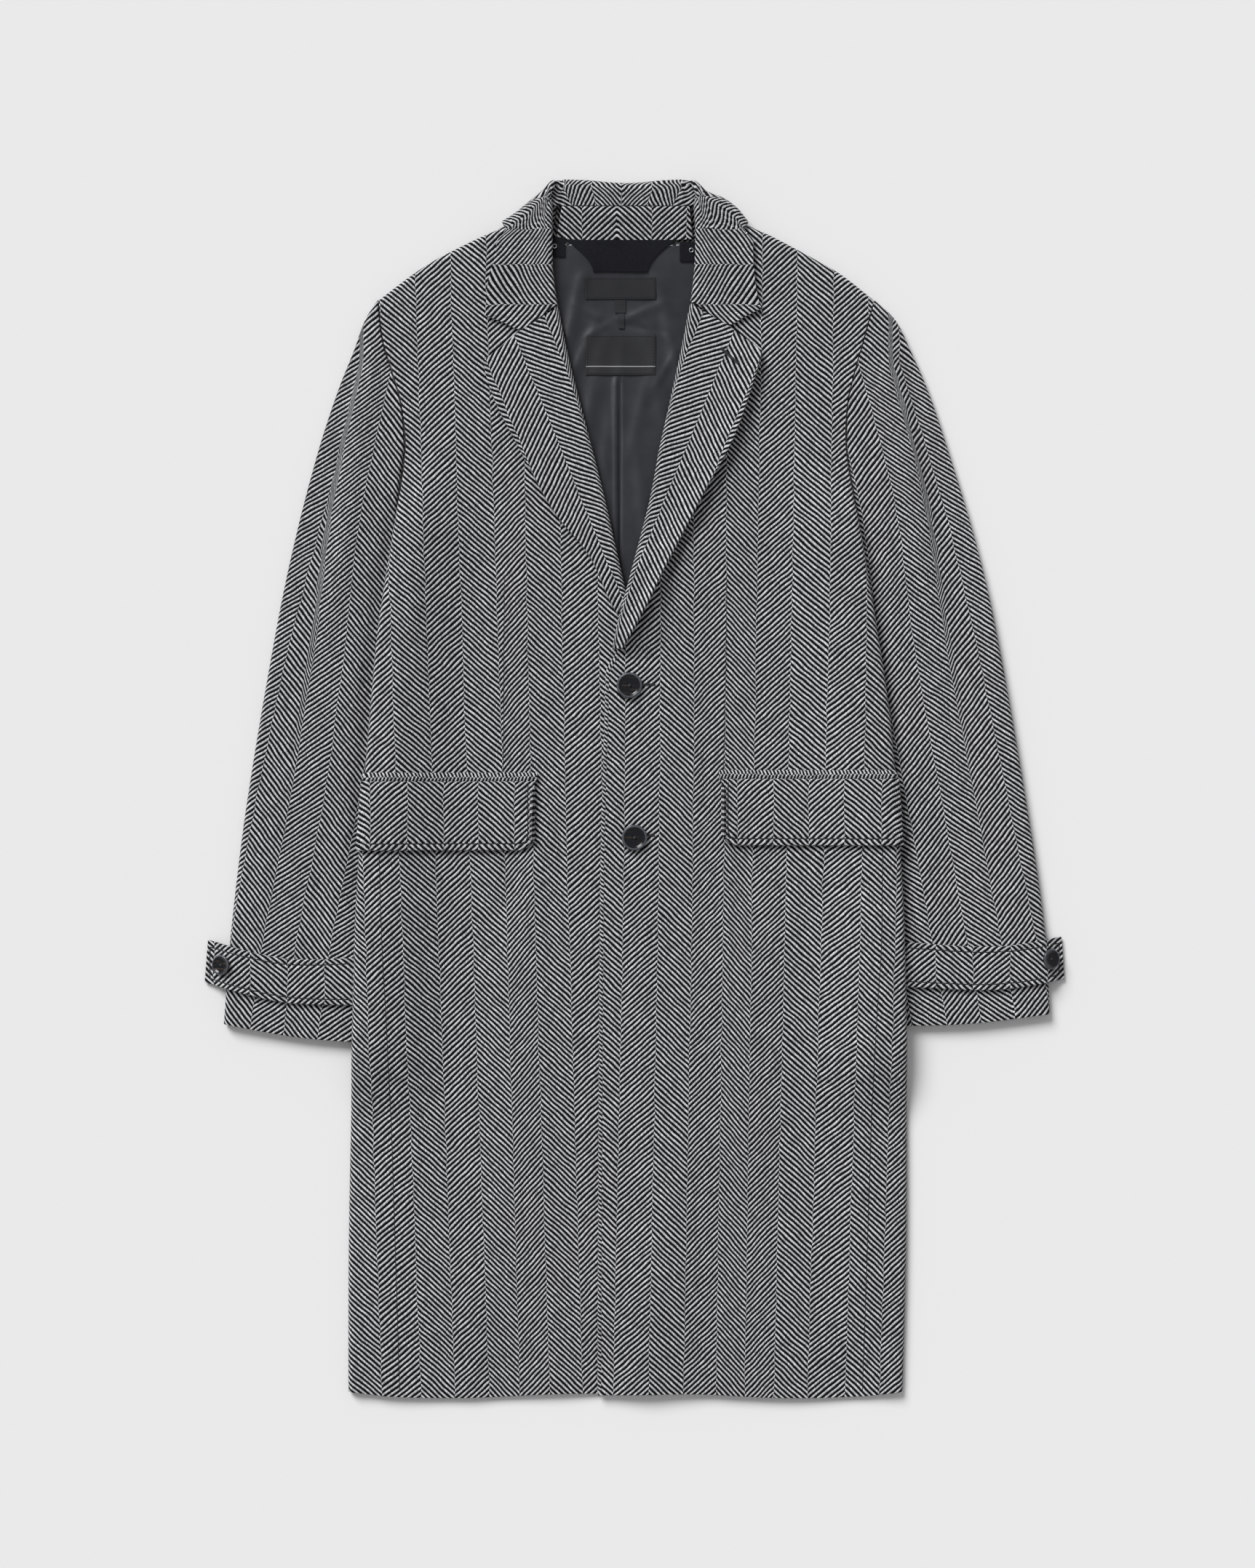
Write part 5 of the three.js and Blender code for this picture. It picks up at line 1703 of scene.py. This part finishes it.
# Buttons, spun from their profile, with four holes cut through and crossed thread
def button_mesh(sizes):
    radius, height = sizes["radius"], sizes["height"]
    rim, well = sizes["rim"], sizes["well"]
    profile = [
        (0.0, 0.0),
        (radius - 2.2, 0.0),
        (radius - 0.9, height * 0.14),
        (radius - 0.2, height * 0.4),
        (radius, height * 0.62),
        (radius - 0.25, height * 0.86),
        (radius - 0.8, height),
        (radius - rim - 0.1, height),
        (radius - rim - 0.9, height - 0.3),
        (radius - rim - 1.9, height - well + 0.1),
        (radius - rim - 2.9, height - well),
        (0.0, height - well - 0.1),
    ]
    mesh = bmesh.new()
    verts = [mesh.verts.new((x * MM, 0, z * MM)) for x, z in profile]
    for a, b in zip(verts, verts[1:]):
        mesh.edges.new((a, b))
    spun(mesh, list(mesh.verts) + list(mesh.edges), 64)
    ring = mesh.loops.layers.uv.new("Ring")
    for face in mesh.faces:
        for loop in face.loops:
            loop[ring].uv = (loop.vert.co.xy.length / (radius * MM), loop.vert.co.z / (height * MM))
    return mesh


def pierced(mesh, sizes):
    """Cut the four thread holes through a button."""
    body = add_object("blank", bpy.data.meshes.new("blank"))
    mesh.to_mesh(body.data)
    mesh.free()
    pins = bmesh.new()
    radius = sizes["hole"] * 0.72 * MM
    for i, j in ((-1, -1), (-1, 1), (1, -1), (1, 1)):
        at = Vector((i, j, 0)) * sizes["spread"] / 2 * MM
        bmesh.ops.create_cone(
            pins,
            cap_ends=True,
            segments=16,
            radius1=radius,
            radius2=radius,
            depth=4 * sizes["height"] * MM,
            matrix=Matrix.Translation(at),
        )
    cutter = add_object("pins", bpy.data.meshes.new("pins"))
    pins.to_mesh(cutter.data)
    pins.free()
    cut = body.modifiers.new("Holes", "BOOLEAN")
    cut.operation = "DIFFERENCE"
    cut.object = cutter
    cut.solver = "EXACT"
    result = modified(body)
    for item in (body, cutter):
        bpy.data.objects.remove(item)
    smooth(result)
    sharp = [
        edge
        for edge in result.edges
        if len(edge.link_faces) == 2 and edge.calc_face_angle() > math.radians(60)
    ]
    for edge in sharp:
        edge.smooth = False
    return result


def thread_loop(mesh, start, end, height, radius):
    """A short arch of thread between two holes."""
    steps = 8
    direction = math.atan2(end[1] - start[1], end[0] - start[0])
    before = None
    for k in range(steps + 1):
        t = k / steps
        x, y = mix(start, end, t)
        z = height + 0.55 * math.sin(math.pi * t) ** 0.5 - 0.2
        matrix = (
            Matrix.Translation((x * MM, y * MM, z * MM))
            @ Matrix.Rotation(direction, 4, "Z")
            @ Matrix.Rotation(math.pi / 2, 4, "Y")
        )
        ring = bmesh.ops.create_circle(mesh, segments=8, radius=radius * MM, matrix=matrix)["verts"]
        if before:
            loops = set(before), set(ring)
            rims = [edge for edge in mesh.edges if any(loop.issuperset(edge.verts) for loop in loops)]
            bmesh.ops.bridge_loops(mesh, edges=rims)
        before = ring


def button(name, sizes, place, lean=0.0):
    mesh = pierced(button_mesh(sizes), sizes)
    turn = Matrix.Translation(metres(place)) @ Matrix.Rotation(lean, 4, "Y")
    bmesh.ops.transform(mesh, matrix=turn, verts=mesh.verts)
    finished(name, mesh, HORN, [name])
    threads = bmesh.new()
    half = sizes["spread"] / 2
    top = sizes["height"] - sizes["well"]
    for start, end in (((-half, -half), (half, half)), ((-half, half), (half, -half))):
        thread_loop(threads, start, end, top, 0.42)
    bmesh.ops.transform(threads, matrix=turn, verts=threads.verts)
    smooth(threads)
    finished(f"{name}_thread", threads, BUTTON_THREAD)


# Stitching and seam lines, laid on the pieces once they are built
def surface_of(piece):
    """Height of a piece's upper face over a place, in millimetres."""
    data = piece.data
    faces = [face.vertices for face in data.polygons]
    tree = BVHTree.FromPolygons([vert.co for vert in data.vertices], faces)

    @lru_cache(maxsize=None)
    def height(x, y):
        hit = tree.ray_cast(metres((x, y, 200)), Vector((0, 0, -1)))[0]
        return hit.z / MM if hit else 0.0

    return height


def along_line(line, t):
    """Place on a line, with the direction that the line has there."""
    x, y = line(t)
    (ax, ay), (bx, by) = line(max(0.0, t - 0.01)), line(min(1.0, t + 0.01))
    return x, y, Vector((bx - ax, by - ay)).normalized()


def path_length(points):
    return sum(math.dist(a, b) for a, b in zip(points, points[1:]))


def walk(points, pitch):
    """Evenly spaced places along a path, each with the direction that the path has there."""
    line = curve(points)
    count = max(1, round(path_length(points) / pitch))
    for k in range(count):
        x, y, along = along_line(line, (k + 0.5) / count)
        yield x, y, math.atan2(along.y, along.x)


def stitches(name, runs, height, look, pitch=2.6, length=1.7, width=0.45, turn=0.0, sink=0.1):
    """Small rounded stitches along paths on a surface, turned from the path's own direction."""
    mesh = bmesh.new()
    for points in runs:
        for x, y, direction in walk(points, pitch):
            place = Matrix.Translation(metres((x, y, height(x, y) - sink)))
            size = Matrix.Diagonal((length * MM, width * MM, width * MM, 1))
            matrix = place @ Matrix.Rotation(direction + math.radians(turn), 4, "Z") @ size
            bmesh.ops.create_uvsphere(mesh, u_segments=8, v_segments=5, radius=0.5, matrix=matrix)
    smooth(mesh)
    finished(name, mesh, look)


def line_on(name, points, height, look, slot, width=0.8, rise=0.12, steps=60):
    """Narrow flat strip along a path on a surface: the shadowed line of a seam, or a woven line."""
    line = curve(points)

    def shape(u, v):
        x, y, along = along_line(line, v)
        px, py = x + along.y * (u - 0.5) * width, y - along.x * (u - 0.5) * width
        return px, py, height(round(px, 2), round(py, 2)) + rise

    finished(name, grid(2, steps, shape), look)


def rope(name, points, height, radius):
    """Rolled edge of cloth, whose twill runs round it like a rope."""
    line = curve(points)
    length = path_length(points)

    def shape(u, v):
        x, y, along = along_line(line, v)
        angle = 2 * math.pi * u
        reach = radius * math.cos(angle)
        px, py = x + along.y * reach, y - along.x * reach
        return px, py, height(x, y) + radius * math.sin(angle)

    def weave(u, v, point):
        return (u - 0.5) * 2 * math.pi * radius + COLUMN * 0.5, v * length * 1.3

    mesh = grid(14, round(length / 5), shape, weave, closed=True)
    finished(name, mesh, COATING, down=True)


def button_hole(name, x, y, length, surface, turn=0.0):
    """Worked buttonhole: close stitches round a slit."""
    cosine, sine = math.cos(turn), math.sin(turn)

    def at(along, across):
        return x + along * cosine - across * sine, y + along * sine + across * cosine

    sides = [[at(0, across), at(length, across)] for across in (-0.85, 0.85)]
    stitches(name, sides, surface, THREAD_AND_PAINTED_SHADE, pitch=0.75, width=0.6, turn=78, sink=0.0)
    # Painted shade: a dark strip along the slit, in place of the shade in the cut.
    slit = [at(0, 0), at(length, 0)]
    line_on(f"{name}_slit", slit, surface, THREAD_AND_PAINTED_SHADE, "coating", width=0.9, rise=0.2, steps=8)


# Paths of the side seams and darts on the fronts, along which dark strips of painted shade are laid.
SIDE_SEAM = {
    "right": [(-219, -56), (-215.8, -145), (-212, -214), (-206, -380), (-201.5, -537)],
    "left": [(228, -56), (226.5, -145), (222, -214), (216, -380), (211, -537)],
}
DART = {
    "right": [(-108, 190), (-108.5, 100), (-109, 16)],
    "left": [(90, 190), (89, 100), (87, 16)],
}
TOPSTITCH = dict(width=0.95, rise=0.06, steps=50)
BUTTON_TAILS = {"top": (15, 92.5, 11.5), "bottom": (19.5, -41.5, 6.5)}
LAPEL_END = [(-12, 111), (-7.5, 118)]  # the front edge's last points, under the lapel's foot
LAPEL_HOLE = (85.2, 391.6, 20, -42.7)


def front_details(side, panel):
    surface = surface_of(panel)
    # Painted shade: dark strips along the side seam and the dart, in place of the shade in their grooves.
    line_on(f"side_seam_{side}", SIDE_SEAM[side], surface, THREAD_AND_PAINTED_SHADE, "coating", width=0.6)
    line_on(f"dart_{side}", DART[side], surface, THREAD_AND_PAINTED_SHADE, "coating", width=0.45)
    if side == "left":
        edge = [(x + 1.5, max(y, -538)) for x, y in edge_points(FRONT_EDGE, side)]
        rope("front_edge_roll", edge + LAPEL_END, lambda x, y: surface(round(x + 2), round(y)) - 1.6, 2.1)
        for name, (x, y, length) in BUTTON_TAILS.items():
            button_hole(f"front_buttonhole_{name}", x, y, length, surface)


def topstitch(name, piece, corners):
    """Thin sunk line of stitching that follows a piece's edges."""
    surface = surface_of(piece)
    for k, (start, end) in enumerate(zip(corners, corners[1:])):
        points = [start, mix(start, end, 0.5), end]
        line_on(f"{name}_line_{k}", points, surface, THREAD_AND_PAINTED_SHADE, "coating", **TOPSTITCH)


def flap_details(side, piece):
    place, s = FLAP_PLACE[side], SIGN[side]
    low, near = place["bottom"] + 6, place["inner"] + 6
    far = body_edge[side](low) - 9
    corners = [(near, place["top"] - 3), (near, low + 7), (near + 2, low + 2), (near + 7, low), (far, low)]
    topstitch(f"flap_{side}", piece, [(s * x, y) for x, y in corners])


def strap_details(side, piece):
    s, outer_at = SIGN[side], sleeve_outer(side)
    top, bottom = strap_edges[side]
    inner = body_edge[side](bottom(0.0)) + 3
    outer = outer_at(round(bottom(1.0))) + STRAP["past"][side] - 5
    runs = []
    for edge, inset in ((top, -5), (bottom, 5)):
        shares = (0, 0.25, 0.5, 0.75, 1)
        runs.append([(s * (inner + (outer - inner) * t), edge(0.08 + 0.88 * t) + inset) for t in shares])
    end = [runs[0][-1], mix(runs[0][-1], runs[1][-1], 0.5), runs[1][-1]]
    surface = surface_of(piece)
    for k, run in enumerate([*runs, end]):
        line_on(f"cuff_strap_{side}_line_{k}", run, surface, THREAD_AND_PAINTED_SHADE, "coating", **TOPSTITCH)


def label_details(row, piece):
    name, right, left, bottom, top = row.values()
    surface = surface_of(piece)
    if top - bottom > 15:
        low, high, near, far = bottom + 1.6, top - 1.6, right + 1.6, left - 1.6
        runs = [[(near, y), (far, y)] for y in (high, low)] + [[(x, low), (x, high)] for x in (near, far)]
        stitches(
            f"{name}_stitches", runs, surface, THREAD_AND_PAINTED_SHADE, pitch=2.7, width=0.75, sink=0.0
        )
    if name == "label_lower":
        points = [(right + 0.4, bottom + 7.7), (left - 0.4, bottom + 7.7)]
        line_on(f"{name}_line", points, surface, PALE_THREAD, "label", width=0.55, rise=0.1, steps=20)


# Build the coat
back()
for side in SIDES:
    panel = front(side)
    sleeve(side)
    turned = lapel(side)
    if side == "left":
        x, y, length, turn = LAPEL_HOLE
        button_hole("lapel_buttonhole", x, y, length, surface_of(turned), math.radians(turn))
    flap_details(side, flap(side))
    welt(side)
    strap_details(side, cuff_strap(side))
    front_details(side, panel)
collar()
stand()
lining_back()
neck_facing()
for row in LABELS:
    label_details(row, label(row))
for row in SNAP_TABS:
    snap_tab(row)
for name, (x, y) in FRONT_BUTTONS.items():
    button(name, BUTTON, (x, y, front_top("left", x, y) + 0.8))
for side, (x, y) in CUFF_BUTTONS.items():
    past = x - sleeve_outer(side)(y)
    lean = math.atan(strap_top(side, past - 0.5) - strap_top(side, past + 0.5))
    place = (SIGN[side] * x, y, strap_top(side, past) + CUFF_BUTTON_GAP)
    button(f"cuff_button_{side}", CUFF_BUTTON, place, lean=SIGN[side] * lean)


# Floor, light and camera
def stage():
    mesh = bmesh.new()
    bmesh.ops.create_grid(mesh, x_segments=1, y_segments=1, size=40)
    data = bpy.data.meshes.new("floor")
    mesh.to_mesh(data)
    mesh.free()
    floor = add_object("floor", data)
    paper = material("paper", Roughness=0.9, Specular_IOR_Level=0.0, Base_Color=(0.8, 0.8, 0.8, 1))
    data.materials.append(paper[0])


def sun(strength, elevation, spread, across):
    """Soft parallel light from a direction across the floor, at an elevation in degrees."""
    data = bpy.data.lights.new("key", "SUN")
    data.energy = strength
    data.angle = math.radians(spread)
    light = add_object("key", data)
    height = math.hypot(*across) * math.tan(math.radians(elevation))
    light.rotation_euler = Vector((*across, height)).to_track_quat("Z", "Y").to_euler()


def camera():
    frame_height = 1401.4 * MM
    distance = 3.0
    data = bpy.data.cameras.new("camera")
    data.sensor_fit = "VERTICAL"
    data.sensor_height = 24
    data.lens = data.sensor_height * distance / frame_height
    made = add_object("camera", data)
    centre = metres((1.6, 4.2, 0))
    made.location = (centre.x, centre.y, distance)
    bpy.context.scene.camera = made


stage()
sun(strength=3.3, elevation=37, spread=30, across=(-0.56, 0.83))
world = bpy.data.worlds.new("studio")
world.use_nodes = True
world.node_tree.nodes["Background"].inputs["Color"].default_value = (0.985, 0.985, 0.99, 1)
world.node_tree.nodes["Background"].inputs["Strength"].default_value = 0.4
bpy.context.scene.world = world
bpy.context.scene.view_settings.view_transform = "Standard"
camera()
